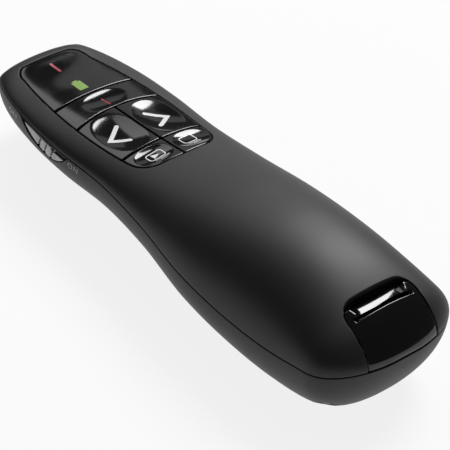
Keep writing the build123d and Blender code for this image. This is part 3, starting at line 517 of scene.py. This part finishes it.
# %% Sheets and shells
ARCH_STEPS = 96
TIP_REGION = 8.0
TIP_STEPS = 14
SECTION_PITCH = 0.8


def sections(inset):
    """Places along the casing: close together at its tips."""
    first, last = inset, LENGTH - inset
    tip = [TIP_REGION * (1 - cos(pi / 2 * k / TIP_STEPS)) for k in range(TIP_STEPS + 1)]
    count = round((last - first - 2 * TIP_REGION) / SECTION_PITCH)
    low, high = first + TIP_REGION, last - TIP_REGION
    middle = [low + (high - low) * k / count for k in range(1, count)]
    return [first + t for t in tip] + middle + [last - t for t in reversed(tip)]


def arch_point(s, share, inset, side):
    """Share runs from 0 at the right foot over the arch to 1 at the left foot."""
    power = 2 / (TOP_POWER if side > 0 else BELLY_POWER)
    across, up = cos(pi * share), max(0.0, sin(pi * share))
    x = half_width(s, inset) * abs(across) ** power * (1 if across > 0 else -1)
    foot = SEAM_GAP / 2
    z = along(SEAM, s) + side * (foot + (reach(s, inset, side) - foot) * up ** power)
    return place(x, s, max(z, WALL) if inset >= WALL else z)


def add_sheet(bm, inset, side):
    share = bm.verts.layers.float.get("share") or bm.verts.layers.float.new("share")
    places = sections(inset)
    arch = []
    for k in range(ARCH_STEPS + 1):
        arch.append(bm.verts.new(arch_point(places[0], k / ARCH_STEPS, inset, side)))
        arch[-1][share] = k / ARCH_STEPS
    edges = [bm.edges.new(pair) for pair in zip(arch, arch[1:])]
    bm.faces.new(arch)
    for s in places[1:]:
        grown = bmesh.ops.extrude_edge_only(bm, edges=edges)["geom"]
        fresh = {g for g in grown if isinstance(g, bmesh.types.BMVert)}
        edges = [g for g in grown if isinstance(g, bmesh.types.BMEdge) and set(g.verts) <= fresh]
        for v in fresh:
            v.co = arch_point(s, v[share], inset, side)
    bm.faces.new(sorted(fresh, key=lambda v: v[share]))


def half_casing(side, inset=0.0, hollow=True):
    """Closed upper (side 1) or lower (side -1) half of the casing."""
    bm = bmesh.new()
    add_sheet(bm, inset, side)
    if hollow:
        add_sheet(bm, inset + WALL, side)
        bmesh.ops.bridge_loops(bm, edges=[e for e in bm.edges if e.is_boundary])
    else:
        bmesh.ops.contextual_create(bm, geom=[e for e in bm.edges if e.is_boundary])
    bmesh.ops.remove_doubles(bm, verts=bm.verts, dist=1e-5)
    if side < 0:
        cut = bmesh.ops.bisect_plane(bm, geom=bm.verts[:] + bm.edges[:] + bm.faces[:], plane_co=(0, 0, 0),
                                     plane_no=(0, 0, -1), clear_outer=True)["geom_cut"]
        bmesh.ops.holes_fill(bm, edges=[g for g in cut if isinstance(g, bmesh.types.BMEdge)])
    bmesh.ops.recalc_face_normals(bm, faces=bm.faces)
    return bm


# %% [markdown]
# ## Outlines seen from above
# The glossy field is a long shield made of arcs. The keys are that shield cut along bowed seams, each a
# little smaller all round, so that a dark gap is left between them.

# %% The field's outline and its seams
FIELD_FRONT, FIELD_REAR = 3.3, 49.0
FRONT_CORNER = ((6.4, 3.3), (8.0, 4.5), (8.7, 7.0))
FLANK = ((8.7, 7.0), (11.3, 28.0), (10.6, 44.2))
REAR_CORNER = ((10.6, 44.2), (9.2, 47.2), (5.5, 48.8))
FIELD_END = 2.5
KEY_GAP = 0.17
SEAM_REACH = 13.0
PANEL_SEAM = (19.3, 20.1)
LASER_SEAM = (26.4, 28.4)
SLIDE_SEAM = (41.5, 42.0)


def field_outline(inset):
    middle = (FIELD_FRONT + FIELD_REAR) / 2

    def inwards(x, s):
        at_end = abs(s - middle) > (FIELD_REAR - FIELD_FRONT) / 2 - FIELD_END
        return x - inset, s + (inset if s < middle else -inset) * at_end

    right = []
    for run in (FRONT_CORNER, FLANK, REAR_CORNER):
        right += arc(*[inwards(*point) for point in run], steps=24)[0 if not right else 1:]
    rear = arc(right[-1], (0, FIELD_REAR - inset), (-right[-1][0], right[-1][1]), steps=16)[1:-1]
    return right + rear + [(-x, s) for x, s in reversed(right)]


def bowed(seam, x):
    return seam[0] + (seam[1] - seam[0]) * (x / SEAM_REACH) ** 2


def band(front, rear, x0, x1, steps=30):
    """Outline of a strip across the field between two seams."""
    xs = [x0 + (x1 - x0) * k / steps for k in range(steps + 1)]
    return [(x, bowed(front, x)) for x in xs] + [(x, bowed(rear, x)) for x in reversed(xs)]


def shifted(seam, distance):
    return seam[0] + distance, seam[1] + distance


print("field:", len(field_outline(0.0)), "points")

# %% Top shell
DOCK_HALF = 9.4
DOCK_FRONT = 103.6
DOCK_CORNER = 3.8
DOCK_STEPS = 10
DOCK_BEYOND = 20.0         # how far a cutter runs on behind the tail
THROUGH_TOP = (0, 40)      # from the table to well over the crown
SHELL_EDGE = 0.16


def dock_outline(inset):
    """Opening in the tail: square with two rounded corners, and open to the rear."""
    half, corner = DOCK_HALF - inset, DOCK_CORNER - inset
    turns = [pi / 2 * k / DOCK_STEPS for k in range(DOCK_STEPS + 1)]
    nose = [(half - corner + corner * sin(turn), DOCK_FRONT + inset + corner - corner * cos(turn))
            for turn in turns]
    behind = LENGTH + DOCK_BEYOND
    return [(-x, s) for x, s in reversed(nose)] + nose + [(half, behind), (-half, behind)]


top = half_casing(1)
top = combined(top, prism(field_outline(0.0), *THROUGH_TOP), "DIFFERENCE")
top = combined(top, prism(dock_outline(0.0), *THROUGH_TOP), "DIFFERENCE")
soften(top, SHELL_EDGE)
finish_piece("top_shell_skin", top, "casing", finishes["soft_charcoal"], ["top_shell"])

# %% [markdown]
# ## Lower shell, battery door and the switch's leaf
# The lower shell is the same arch turned down and cut flat where the clicker rests. Its openings are cut
# with shapes that match the model's: prisms for the battery door and for the leaf of the power switch,
# round bars for the laser window and the wells of the screws.

# %% Lower shell and door
DOOR_HALF, DOOR_HEAD, DOOR_TAIL, DOOR_CORNER = 11.6, 66.0, 105.0, 2.5
DOOR_GAP = 0.2
DOOR_EDGE = 0.14
THROUGH_BELLY = (-5, 7)    # from under the table to inside the casing
LEAF_HEAD, LEAF_TAIL, LEAF_TOP, LEAF_LOW = 14.2, 31.0, 14.3, (24.6, 10.2)
LEAF_BOW, LEAF_BULGE = 0.79, 0.5
LEAF_CUT_START, LEAF_CUT_LENGTH = -30, 24
LASER_Z, WINDOW_RADIUS = 8.8, 2.0
WINDOW_CUT_START, WINDOW_CUT_END = -2, 5
SCREW_WELL_RADIUS, SCREW_WELL_FOOT, SCREW_SEAT = 2.0, -2, 7.6
SCREW_PLACES = [(side * 12.8, s) for s in (59.5, 108.4) for side in (-1, 1)]


def rounded_box(x0, x1, s0, s1, corner, steps=8):
    """Rectangle with round corners, as (x, s) points."""
    points = []
    for cx, cs, quarter in ((x1 - corner, s1 - corner, 0), (x0 + corner, s1 - corner, 1),
                            (x0 + corner, s0 + corner, 2), (x1 - corner, s0 + corner, 3)):
        turns = [pi / 2 * (quarter + k / steps) for k in range(steps + 1)]
        points += [(cx + corner * cos(turn), cs + corner * sin(turn)) for turn in turns]
    return points


def leaf_cutter():
    """Prism through the left wall, drawn in (s, z)."""
    round_end = ((LEAF_TAIL + LEAF_LOW[0]) / 2 + LEAF_BULGE, (LEAF_TOP + LEAF_LOW[1]) / 2 - LEAF_BULGE)
    belly = ((LEAF_HEAD + LEAF_LOW[0]) / 2, LEAF_TOP + (LEAF_LOW[1] - LEAF_TOP) * LEAF_BOW)
    outline = arc((LEAF_TAIL, LEAF_TOP), round_end, LEAF_LOW)
    outline += arc(LEAF_LOW, belly, (LEAF_HEAD, LEAF_TOP))[1:]
    return swept([place(LEAF_CUT_START, s, z) for s, z in outline], (LEAF_CUT_LENGTH, 0, 0))


def keep_above_table(bm):
    """A bevel on the rim of the flat can dip a hair under the table, so its points are lifted back."""
    for v in bm.verts:
        v.co.z = max(v.co.z, 0.0)


def door_outline(inset):
    half = DOOR_HALF - inset
    return rounded_box(-half, half, DOOR_HEAD + inset, DOOR_TAIL - inset, DOOR_CORNER)


low = half_casing(-1)
low = combined(low, prism(door_outline(0.0), *THROUGH_BELLY), "DIFFERENCE")
low = combined(low, leaf_cutter(), "DIFFERENCE")
beam = rod(WINDOW_RADIUS, place(0, WINDOW_CUT_START, LASER_Z), place(0, WINDOW_CUT_END, LASER_Z))
low = combined(low, beam, "DIFFERENCE")
for x, s in SCREW_PLACES:
    well = rod(SCREW_WELL_RADIUS, place(x, s, SCREW_WELL_FOOT), place(x, s, SCREW_SEAT))
    low = combined(low, well, "DIFFERENCE")
soften(low, SHELL_EDGE)
keep_above_table(low)
finish_piece("bottom_shell_skin", low, "casing", finishes["soft_charcoal"], ["bottom_shell"])

GRIP_COUNT, GRIP_PITCH, GRIP_WIDTH, GRIP_DEPTH, GRIP_HALF = 4, 1.8, 0.8, 0.4, 4.5
GRIP_FROM_TAIL = 4
door = combined(half_casing(-1), prism(door_outline(DOOR_GAP), *THROUGH_BELLY), "INTERSECT")
for k in range(GRIP_COUNT):
    s = DOOR_TAIL - GRIP_FROM_TAIL - k * GRIP_PITCH
    door = combined(door, bar(-GRIP_HALF, GRIP_HALF, s - GRIP_WIDTH, s, -1, GRIP_DEPTH), "DIFFERENCE")
soften(door, DOOR_EDGE, segments=2)
keep_above_table(door)
finish_piece("battery_door_skin", door, "battery_cover", finishes["soft_charcoal"],
             ["battery_door"])

# %% [markdown]
# ## Keys with polished edges
# A key could be a cut-out of the shell with a bevel on it, but a cut leaves slivers, and slivers spoil a
# mirror. Instead each key grows from its own outline: the flat outline is inset a few times for the
# round edge, then copied inwards in rings until it closes at the middle. Only then does every ring drop
# onto the casing's curve, less the dish that the finger feels.

# %% Dishes and key caps
RING_PITCH = 0.30
RING_COUNT = 26
KEY_EDGE = 0.28
KEY_EDGE_STEPS = 4
KEY_CORNER = 0.55
KEY_CORNER_OVER = 25       # degrees at which an upright edge counts as a corner
KEY_BLANK, KEY_CUTTER = (0, 10), (-5, 15)
BEYOND_FIELD = 2           # how far a strip runs on past the field's ends
POST_RADIUS = 1.2
POST_CLEAR = 0.3
STEM_TOP = 15.3
LIP = 0.05                 # softness of a dish's rim
DISH_POWER = 2.3           # 2 is an oval dish, more is squarer
DISHES = {                 # centre x, centre s, half width, half length, depth
    "laser": (0.3, 23.1, 5.7, 3.2, 0.42),
    "previous": (-5.1, 34.5, 4.9, 6.7, 0.75),
    "next": (5.3, 34.4, 4.8, 6.7, 0.75),
    "slideshow": (-5.1, 45.0, 4.3, 2.9, 0.60),
    "blank_screen": (5.2, 45.0, 4.6, 2.9, 0.52),
}


def bowl(x, s, dish):
    """Depth of a dish at a place, with a soft lip."""
    cx, cs, half_x, half_s, depth = dish
    fall = 1 - abs((x - cx) / half_x) ** DISH_POWER - abs((s - cs) / half_s) ** DISH_POWER
    return depth * (fall + sqrt(fall * fall + LIP * LIP)) / 2


def key_surface(name):
    dish = DISHES.get(name)
    return lambda x, s: top_z(x, s) - (bowl(x, s, dish) if dish else 0.0)


def even_outline(loop, pitch):
    """The closed outline again, with points at an even pitch."""
    runs = [hypot(b[0] - a[0], b[1] - a[1]) for a, b in zip(loop, loop[1:] + loop[:1])]
    total = sum(runs)
    count = round(total / pitch)
    points, k, passed = [], 0, 0.0
    for i in range(count):
        goal = total * i / count
        while passed + runs[k] < goal:
            passed += runs[k]
            k += 1
        a, b = loop[k], loop[(k + 1) % len(loop)]
        t = (goal - passed) / runs[k]
        points.append((a[0] + (b[0] - a[0]) * t, a[1] + (b[1] - a[1]) * t))
    return points


def key_outline(front, rear, x0, x1):
    """The field's outline cut by two seams, with its upright corners rounded."""
    strip = prism(band(front, rear, x0, x1), *KEY_CUTTER)
    bm = combined(prism(field_outline(KEY_GAP), *KEY_BLANK), strip, "INTERSECT")
    uprights = [e for e in bm.edges
                if len(e.link_faces) == 2 and e.calc_face_angle(0) > radians(KEY_CORNER_OVER)
                and abs(e.verts[0].co.z - e.verts[1].co.z) > 1]
    bmesh.ops.bevel(bm, geom=uprights, offset=KEY_CORNER, offset_type="OFFSET", segments=6, profile=0.5,
                    affect="EDGES", clamp_overlap=True, material=-1)
    lid = max(bm.faces, key=lambda f: (round(f.calc_center_median().z, 3), f.calc_area()))
    loop = [(v.co.x, LENGTH / 2 - v.co.y) for v in lid.verts]
    bm.free()
    return even_outline(loop, RING_PITCH)


def domed_cap(outline, surface):
    """Solid over an outline whose lid follows the surface and whose rim is rounded."""
    bm = bmesh.new()
    drop = bm.verts.layers.float.new("drop")
    lid = bm.faces.new([bm.verts.new(place(x, s)) for x, s in outline])
    foot = lid.verts[:]
    grown = bmesh.ops.extrude_face_region(bm, geom=[lid], use_keep_orig=True)["geom"]
    lid = next(g for g in grown if isinstance(g, bmesh.types.BMFace))
    for v in foot:
        v[drop] = WALL
    for v in lid.verts:
        v[drop] = KEY_EDGE
    reached = 0.0
    for k in range(1, KEY_EDGE_STEPS + 1):
        turn = pi / 2 * k / KEY_EDGE_STEPS
        step = KEY_EDGE * (1 - cos(turn)) - reached
        reached += step
        bmesh.ops.inset_region(bm, faces=[lid], thickness=step, use_even_offset=True, use_boundary=True)
        for v in lid.verts:
            v[drop] = KEY_EDGE * (1 - sin(turn))
    centre = sum((v.co for v in lid.verts), Vector()) / len(lid.verts)
    for k in range(1, RING_COUNT):
        bmesh.ops.inset_individual(bm, faces=[lid], thickness=0.0)
        shrink = 1 - 1 / (RING_COUNT - k + 1)
        for v in lid.verts:
            v.co = centre + (v.co - centre) * shrink
    bmesh.ops.poke(bm, faces=[lid])
    for v in bm.verts:
        v.co.z = surface(v.co.x, LENGTH / 2 - v.co.y) - v[drop]
    bmesh.ops.recalc_face_normals(bm, faces=bm.faces)
    return bm


front_of_all, rear_of_all = (FIELD_FRONT - BEYOND_FIELD,) * 2, (FIELD_REAR + BEYOND_FIELD,) * 2
KEY_STRIPS = {
    "laser": (shifted(PANEL_SEAM, KEY_GAP), shifted(LASER_SEAM, -KEY_GAP), -SEAM_REACH, SEAM_REACH),
    "previous": (shifted(LASER_SEAM, KEY_GAP), shifted(SLIDE_SEAM, -KEY_GAP), -SEAM_REACH, -KEY_GAP),
    "next": (shifted(LASER_SEAM, KEY_GAP), shifted(SLIDE_SEAM, -KEY_GAP), KEY_GAP, SEAM_REACH),
    "slideshow": (shifted(SLIDE_SEAM, KEY_GAP), rear_of_all, -SEAM_REACH, -KEY_GAP),
    "blank_screen": (shifted(SLIDE_SEAM, KEY_GAP), rear_of_all, KEY_GAP, SEAM_REACH),
}
POSTS = {"laser": (0.0, 23.2), "previous": (-5.6, 34.4), "next": (5.6, 34.4), "slideshow": (-5.2, 45.0),
         "blank_screen": (5.2, 45.0)}
for name, strip in KEY_STRIPS.items():
    cap = domed_cap(key_outline(*strip), key_surface(name))
    x, s = POSTS[name]
    post_top = top_z(x, s) - WALL / 2 - POST_CLEAR
    post = rod(POST_RADIUS, place(x, s, STEM_TOP), place(x, s, post_top), segments=24)
    cap = combined(cap, post, "UNION")
    finish_piece(f"{name}_key_cap", cap, f"{name}_key", finishes["gloss_black"],
                 [f"{name}_button"])

panel_outline = key_outline(front_of_all, shifted(PANEL_SEAM, -KEY_GAP), -SEAM_REACH, SEAM_REACH)
panel = domed_cap(panel_outline, key_surface("panel"))
finish_piece("status_panel_cap", panel, "casing", finishes["gloss_black"], ["status_panel"])

# %% [markdown]
# ## Printed marks
# Ink is a skin a few hundredths of a millimetre thick. Drawing it in the material would work from one
# distance only, so each mark is a real thin piece: its outline is filled, split finely, and laid onto the
# key's curve.

# %% Marks on the keys and the panel
INK_LIFT, INK_THICK = 0.01, 0.02
INK_MESH = 0.35            # longest edge that isn't split once more
STROKE_CAP_STEPS = 6
ICON_LINE, ICON_CORNER = 0.26, 0.75
ICON_FOOT_LINE, ICON_FOOT_START, ICON_FOOT_PITCH = 0.16, 0.32, 0.36
ICON_FEET = ((-0.30, 0.52), (-0.05, 0.50))      # both ends of each short line, as shares of the width


def lay_on(bm, surface):
    """Lays flat faces onto a surface as a skin of ink."""
    bmesh.ops.triangulate(bm, faces=bm.faces)
    for _ in range(2):
        long_edges = [e for e in bm.edges if e.calc_length() > INK_MESH]
        bmesh.ops.subdivide_edges(bm, edges=long_edges, cuts=1, use_grid_fill=False)
        bmesh.ops.triangulate(bm, faces=bm.faces)
    for v in bm.verts:
        v.co.z = surface(v.co.x, LENGTH / 2 - v.co.y) + INK_LIFT
    bmesh.ops.recalc_face_normals(bm, faces=bm.faces)
    push_out(bm, bm.faces[:], (0, 0, INK_THICK), keep=True)
    return bm


def filled(loops):
    """Flat faces inside the first outline, less the second one where there are two."""
    bm = bmesh.new()
    rings = []
    for loop in loops:
        verts = [bm.verts.new(place(x, s)) for x, s in loop]
        rings += [bm.edges.new(pair) for pair in zip(verts, verts[1:] + verts[:1])]
    if len(loops) == 1:
        bm.faces.new(bm.verts[:])
    else:
        bmesh.ops.bridge_loops(bm, edges=rings)
    return bm


def stroke(points, width):
    """Outline of a line of ink with round ends and a mitred bend."""
    half = width / 2
    normals = []
    for a, b in zip(points, points[1:]):
        run = hypot(b[0] - a[0], b[1] - a[1])
        normals.append(((a[1] - b[1]) / run, (b[0] - a[0]) / run))
    shifts = [normals[0]]
    for m, n in zip(normals, normals[1:]):
        scale = 1 + m[0] * n[0] + m[1] * n[1]
        shifts.append(((m[0] + n[0]) / scale, (m[1] + n[1]) / scale))
    shifts.append(normals[-1])

    def cap(point, normal):
        start = atan2(normal[1], normal[0])
        turns = [start - pi * k / STROKE_CAP_STEPS for k in range(STROKE_CAP_STEPS + 1)]
        return [(point[0] + half * cos(turn), point[1] + half * sin(turn)) for turn in turns]

    first, last = normals[0], normals[-1]
    left = [(p[0] + n[0] * half, p[1] + n[1] * half) for p, n in zip(points[1:-1], shifts[1:-1])]
    right = [(p[0] - n[0] * half, p[1] - n[1] * half) for p, n in zip(points[1:-1], shifts[1:-1])]
    return left + cap(points[-1], last) + list(reversed(right)) + cap(points[0], (-first[0], -first[1]))


def mark(name, shapes, key, body, colour):
    """One printed mark made of several outlines."""
    bm = bmesh.new()
    for loops in shapes:
        part = filled(loops)
        mesh = bpy.data.meshes.new("part")
        part.to_mesh(mesh)
        part.free()
        bm.from_mesh(mesh)
        bpy.data.meshes.remove(mesh)
    finish_piece(name, lay_on(bm, key_surface(key)), body, inks[colour])


def turned(shape, x, s, angle):
    """An outline drawn about the origin, turned in plan and moved to its place."""
    c, q = cos(radians(angle)), sin(radians(angle))
    return [(x + px * c - ps * q, s + px * q + ps * c) for px, ps in shape]


def screen_icon(x, s, angle, width, height):
    """Rounded frame with two short lines under it."""
    def frame_loop(inset):
        box = rounded_box(-width / 2 + inset, width / 2 - inset, -height / 2 + inset, height / 2 - inset,
                          ICON_CORNER - inset, steps=5)
        return turned(box, x, s, angle)

    shapes = [[frame_loop(0.0), frame_loop(ICON_LINE)]]
    for k, (start, end) in enumerate(ICON_FEET):
        rise = height / 2 + ICON_FOOT_START + ICON_FOOT_PITCH * k
        foot = stroke([(start * width, rise), (end * width, rise)], ICON_FOOT_LINE)
        shapes.append([turned(foot, x, s, angle)])
    return shapes


ARROW_WIDTH, LASER_LINE, ACTIVITY_LINE = 0.95, 0.4, 0.65
PREVIOUS_ARROW = [(-3.9, 31.9), (-8.2, 35.1), (-4.7, 37.3)]
NEXT_ARROW = [(3.9, 31.7), (7.3, 35.0), (3.7, 37.1)]
SLIDESHOW_PLACE, SLIDESHOW_SIZE = (-4.6, 45.15, -2), (4.2, 2.5)        # x, s, degrees and width, height
BLANK_SCREEN_PLACE, BLANK_SCREEN_SIZE = (4.55, 44.65, -5), (3.9, 2.6)
PLAY_SHAPE = [(-0.85, -0.75), (1.0, 0.0), (-0.85, 0.75)]
BATTERY_PLACE = (-0.6, 15.6, 0)
BATTERY_SHAPE = [(-0.6, -1.9), (0.6, -1.9), (0.6, -1.4), (1.15, -1.4), (1.15, 1.8), (-1.15, 1.8),
                 (-1.15, -1.4), (-0.6, -1.4)]

mark("previous_arrow", [[stroke(PREVIOUS_ARROW, ARROW_WIDTH)]], "previous", "previous_key", "white")
mark("next_arrow", [[stroke(NEXT_ARROW, ARROW_WIDTH)]], "next", "next_key", "white")
play = [turned(PLAY_SHAPE, *SLIDESHOW_PLACE)]
mark("slideshow_icon", screen_icon(*SLIDESHOW_PLACE, *SLIDESHOW_SIZE) + [play], "slideshow",
     "slideshow_key", "white")
mark("blank_screen_icon", screen_icon(*BLANK_SCREEN_PLACE, *BLANK_SCREEN_SIZE), "blank_screen",
     "blank_screen_key", "white")
mark("laser_mark", [[stroke([(0.1, 22.3), (0.2, 24.8)], LASER_LINE)]], "laser", "laser_key", "red")
mark("activity_mark", [[stroke([(-0.6, 5.9), (-0.4, 8.8)], ACTIVITY_LINE)]], "panel", "casing", "red")
mark("battery_mark", [[turned(BATTERY_SHAPE, *BATTERY_PLACE)]], "panel", "casing", "green")

# %% [markdown]
# ## Words on the switch
# The switch has its two positions printed beside it. A text object is made a mesh first, then each of
# its points is laid against the curved wall.

# %% OFF and ON
LETTER_HEIGHT = 1.35
CAPITAL_SHARE = 0.7        # height of a capital as a share of the font's size
LETTER_SPACING = 1.2


def side_word(text, s, z):
    curve = bpy.data.curves.new(text, "FONT")
    curve.body = text
    curve.size = LETTER_HEIGHT / CAPITAL_SHARE
    curve.space_character = LETTER_SPACING
    holder = bpy.data.objects.new(text, curve)
    bpy.context.scene.collection.objects.link(holder)
    mesh = shown_mesh(holder)
    bm = bmesh.new()
    bm.from_mesh(mesh)
    bpy.data.objects.remove(holder)
    bpy.data.meshes.remove(mesh)
    for v in bm.verts:
        across, up = v.co.x, v.co.y
        v.co = place(-side_x(z + up, s + across) - INK_LIFT, s + across, z + up)
    push_out(bm, bm.faces[:], (-INK_THICK, 0, 0), keep=True)
    finish_piece(f"word_{text.lower()}", bm, "casing", inks["grey"])


side_word("OFF", 9.0, 12.0)
side_word("ON", 31.4, 12.8)

# %% [markdown]
# ## The receiver's cap
# The USB receiver hides in the tail, and only its cap shows. The cap is a solid copy of the casing's end,
# cut down: first to the plan of the opening, then to the slope of the receiver's back. A flat scoop with a
# slot behind it lets a fingernail pull it out, and two small shoulders stay at its sides.

# %% Receiver cap
DOCK_TILT = radians(3.0)
RECEIVER_THICK = 7.4
HOUSING_HEAD, DOCK_FLOOR = 66.3, 13.6
CAP_INSET, CAP_SIDE_GAP = 0.1, 0.2
SHOULDER_WIDTH, SHOULDER_FRONT, SCOOP_REAR = 1.3, 105.6, 107.4
SLOT_WIDTH, SLOT_DEPTH = 0.9, 1.8
SCOOP_CORNER = 3.0
CAP_EDGE = 0.25
FAR = 60.0


def in_dock(bm):
    """Turns a piece from the receiver's own frame into the sloping dock."""
    pivot = place(0, HOUSING_HEAD, 0)
    bmesh.ops.rotate(bm, cent=pivot, matrix=Matrix.Rotation(-DOCK_TILT, 3, "X"), verts=bm.verts)
    bmesh.ops.translate(bm, vec=(0, 0, DOCK_FLOOR), verts=bm.verts)
    return bm


def trough(s0, s1, base):
    """Cutter for a channel between the shoulders, with round lower corners."""
    half = DOCK_HALF - CAP_SIDE_GAP - SHOULDER_WIDTH
    section = rounded_box(-half, half, base, base + FAR, SCOOP_CORNER)
    return in_dock(swept([place(x, s0, z) for x, z in section], (0, s0 - s1, 0)))


opening = prism(dock_outline(CAP_SIDE_GAP), *THROUGH_TOP)
cap = combined(half_casing(1, CAP_INSET, hollow=False), opening, "INTERSECT")
for cut in (
    in_dock(bar(-FAR, FAR, -FAR, 3 * FAR, -FAR, 0)),
    in_dock(bar(-FAR, FAR, 0, SHOULDER_FRONT, RECEIVER_THICK, FAR)),
    trough(0, SCOOP_REAR, RECEIVER_THICK),
    trough(SCOOP_REAR, SCOOP_REAR + SLOT_WIDTH, RECEIVER_THICK - SLOT_DEPTH),
):
    cap = combined(cap, cut, "DIFFERENCE")
soften(cap, CAP_EDGE, segments=4, angle=35, merge=0.08)
finish_piece("receiver_cap_skin", cap, "receiver", finishes["gloss_black"], ["receiver_cap"])

# %% [markdown]
# ## Finishing the model's own pieces
# Boards, screws, springs and cells keep the model's shape. Their meshes are loose triangles, so a finish
# is only put into their material slots. The power slider faces the outside, so it gets a softened copy
# instead: the triangles are merged, flat areas are dissolved into single faces, and the corners are rounded.

# %% A softened copy, and finishes for the rest
SLIDER_EDGE = 0.12
FLAT_WITHIN = 1.0          # degrees between triangles that become one face
slot_of = {part["node"]: part["material_slot"] for part in frame["record"]["subparts"]}


def softened_copy(node, width):
    """The model's piece again, with merged faces and rounded corners."""
    piece = frame["nodes"][node]
    bm = bmesh.new()
    bm.from_mesh(piece.data)
    bmesh.ops.scale(bm, vec=(1 / MM,) * 3, verts=bm.verts)
    bmesh.ops.remove_doubles(bm, verts=bm.verts, dist=1e-3)
    bmesh.ops.dissolve_limit(bm, angle_limit=radians(FLAT_WITHIN), verts=bm.verts, edges=bm.edges)
    soften(bm, width, angle=30, merge=1e-3)
    name = slot_of[node]
    finish_piece(f"{node}_dressed", bm, piece["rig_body"], finishes[name], [node])


softened_copy("power_slider", SLIDER_EDGE)
dressed = {name for made in bpy.data.objects if "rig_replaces" in made for name in made["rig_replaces"]}
for node, piece in frame["nodes"].items():
    if node not in dressed:
        piece.data.materials.clear()
        piece.data.materials.append(finishes[slot_of[node]])
print("dressed:", len(dressed), "of", len(frame["nodes"]))

# %% [markdown]
# ## The studio
# A pale table under three soft boxes, as for a catalogue. The floor looks white to the camera and in mirrors,
# but it is an ordinary surface to the light, so it keeps the shadow: a Mix Shader driven by Light Path
# does that. The piano black keys show what they mirror, so the lamps are placed where a key needs a
# highlight.

# %% Floor and world
FLOOR_RADIUS = 2500
FLOOR_GLOW = 0.85          # share of white light in the floor that the camera and the mirrors see
WORLD_LIGHT = 0.09


def backdrop():
    finish = Finish("white_table", (0.86, 0.86, 0.86), 0.9)
    paper = finish.grain(6.0, detail=3.0)
    finish.set("Base Color", finish.mix(paper, (0.85, 0.85, 0.85, 1), (0.88, 0.88, 0.88, 1)))
    seen = finish.node("ShaderNodeLightPath", output="Is Camera Ray")
    mirrored = finish.node("ShaderNodeLightPath", output="Is Glossy Ray")
    through = finish.node("ShaderNodeLightPath", output="Is Transmission Ray")
    glow = finish.node("ShaderNodeEmission", {}, {"Color": (1, 1, 1, 1), "Strength": 1.0})
    share = (seen + mirrored + through).clamped() * FLOOR_GLOW
    lit = Signal(finish, finish.shader.outputs[0])
    mixed = finish.node("ShaderNodeMixShader", {}, {0: share, 1: lit, 2: glow})
    finish.feed(finish.tree.nodes["Material Output"].inputs["Surface"], mixed)
    return finish.material


bm = bmesh.new()
bmesh.ops.create_circle(bm, cap_ends=True, segments=96, radius=FLOOR_RADIUS)
floor = make_object("table", bm)
floor.data.materials.append(backdrop())

world = bpy.data.worlds.new("studio")
bpy.context.scene.world = world
world.use_nodes = True
sky = world.node_tree.nodes["Background"]
sky.inputs["Color"].default_value = (1, 1, 1, 1)
sky.inputs["Strength"].default_value = WORLD_LIGHT

# %% Soft boxes
STUDIO_RADIUS = 1500.0
AIM_HEIGHT = 15


def soft_box(name, azimuth, elevation, width, height, radiance):
    """Lamp that faces the clicker. Azimuth runs from the laser end towards the right-hand side."""
    lamp = bpy.data.lights.new(name, "AREA")
    lamp.shape = "RECTANGLE"
    lamp.size, lamp.size_y = (2 * STUDIO_RADIUS * MM * tan(radians(angle / 2)) for angle in (width, height))
    lamp.energy = radiance * pi * lamp.size * lamp.size_y
    holder = bpy.data.objects.new(name, lamp)
    bpy.context.scene.collection.objects.link(holder)
    turn, rise = radians(azimuth), radians(elevation)
    ray = Vector((sin(turn) * cos(rise), cos(turn) * cos(rise), sin(rise)))
    holder.location = (ray * STUDIO_RADIUS + Vector((0, 0, AIM_HEIGHT))) * MM
    holder.rotation_mode = "QUATERNION"
    holder.rotation_quaternion = ray.to_track_quat("Z", "Y")
    holder.visible_camera = False


soft_box("key_light", azimuth=65, elevation=46, width=25, height=27, radiance=16.0)
soft_box("low_card", azimuth=43, elevation=24, width=20, height=12, radiance=0.5)
soft_box("side_card", azimuth=19, elevation=43, width=16, height=30, radiance=1.9)

# %% [markdown]
# ## The camera
# A long lens from over the left side of the tail, turned a little about its own axis, as a product shot
# often is.

# %% Camera
AZIMUTH, ELEVATION, ROLL = radians(-46.7), radians(39.5), radians(8.6)
DISTANCE, LENS, SENSOR = 527.9, 206.5, 36.0
TARGET = Vector((0, 0, 12))
AIM_RIGHT, AIM_UP = 3.42, -2.91

right = Vector((cos(AZIMUTH), sin(AZIMUTH), 0))
back = Vector((sin(AZIMUTH) * cos(ELEVATION), -cos(AZIMUTH) * cos(ELEVATION), sin(ELEVATION)))
up = back.cross(right)
rolled_right = right * cos(ROLL) + up * sin(ROLL)
rolled_up = up * cos(ROLL) - right * sin(ROLL)
lens = bpy.data.cameras.new("camera")
lens.lens, lens.sensor_width = LENS, SENSOR
lens.clip_start, lens.clip_end = 0.01, 20
camera = bpy.data.objects.new("camera", lens)
bpy.context.scene.collection.objects.link(camera)
spot = TARGET + rolled_right * AIM_RIGHT + rolled_up * AIM_UP + back * DISTANCE
camera.location = spot * MM
camera.rotation_mode = "QUATERNION"
camera.rotation_quaternion = Matrix((rolled_right, rolled_up, back)).transposed().to_quaternion()
bpy.context.scene.camera = camera
bpy.context.scene.view_settings.view_transform = "Standard"
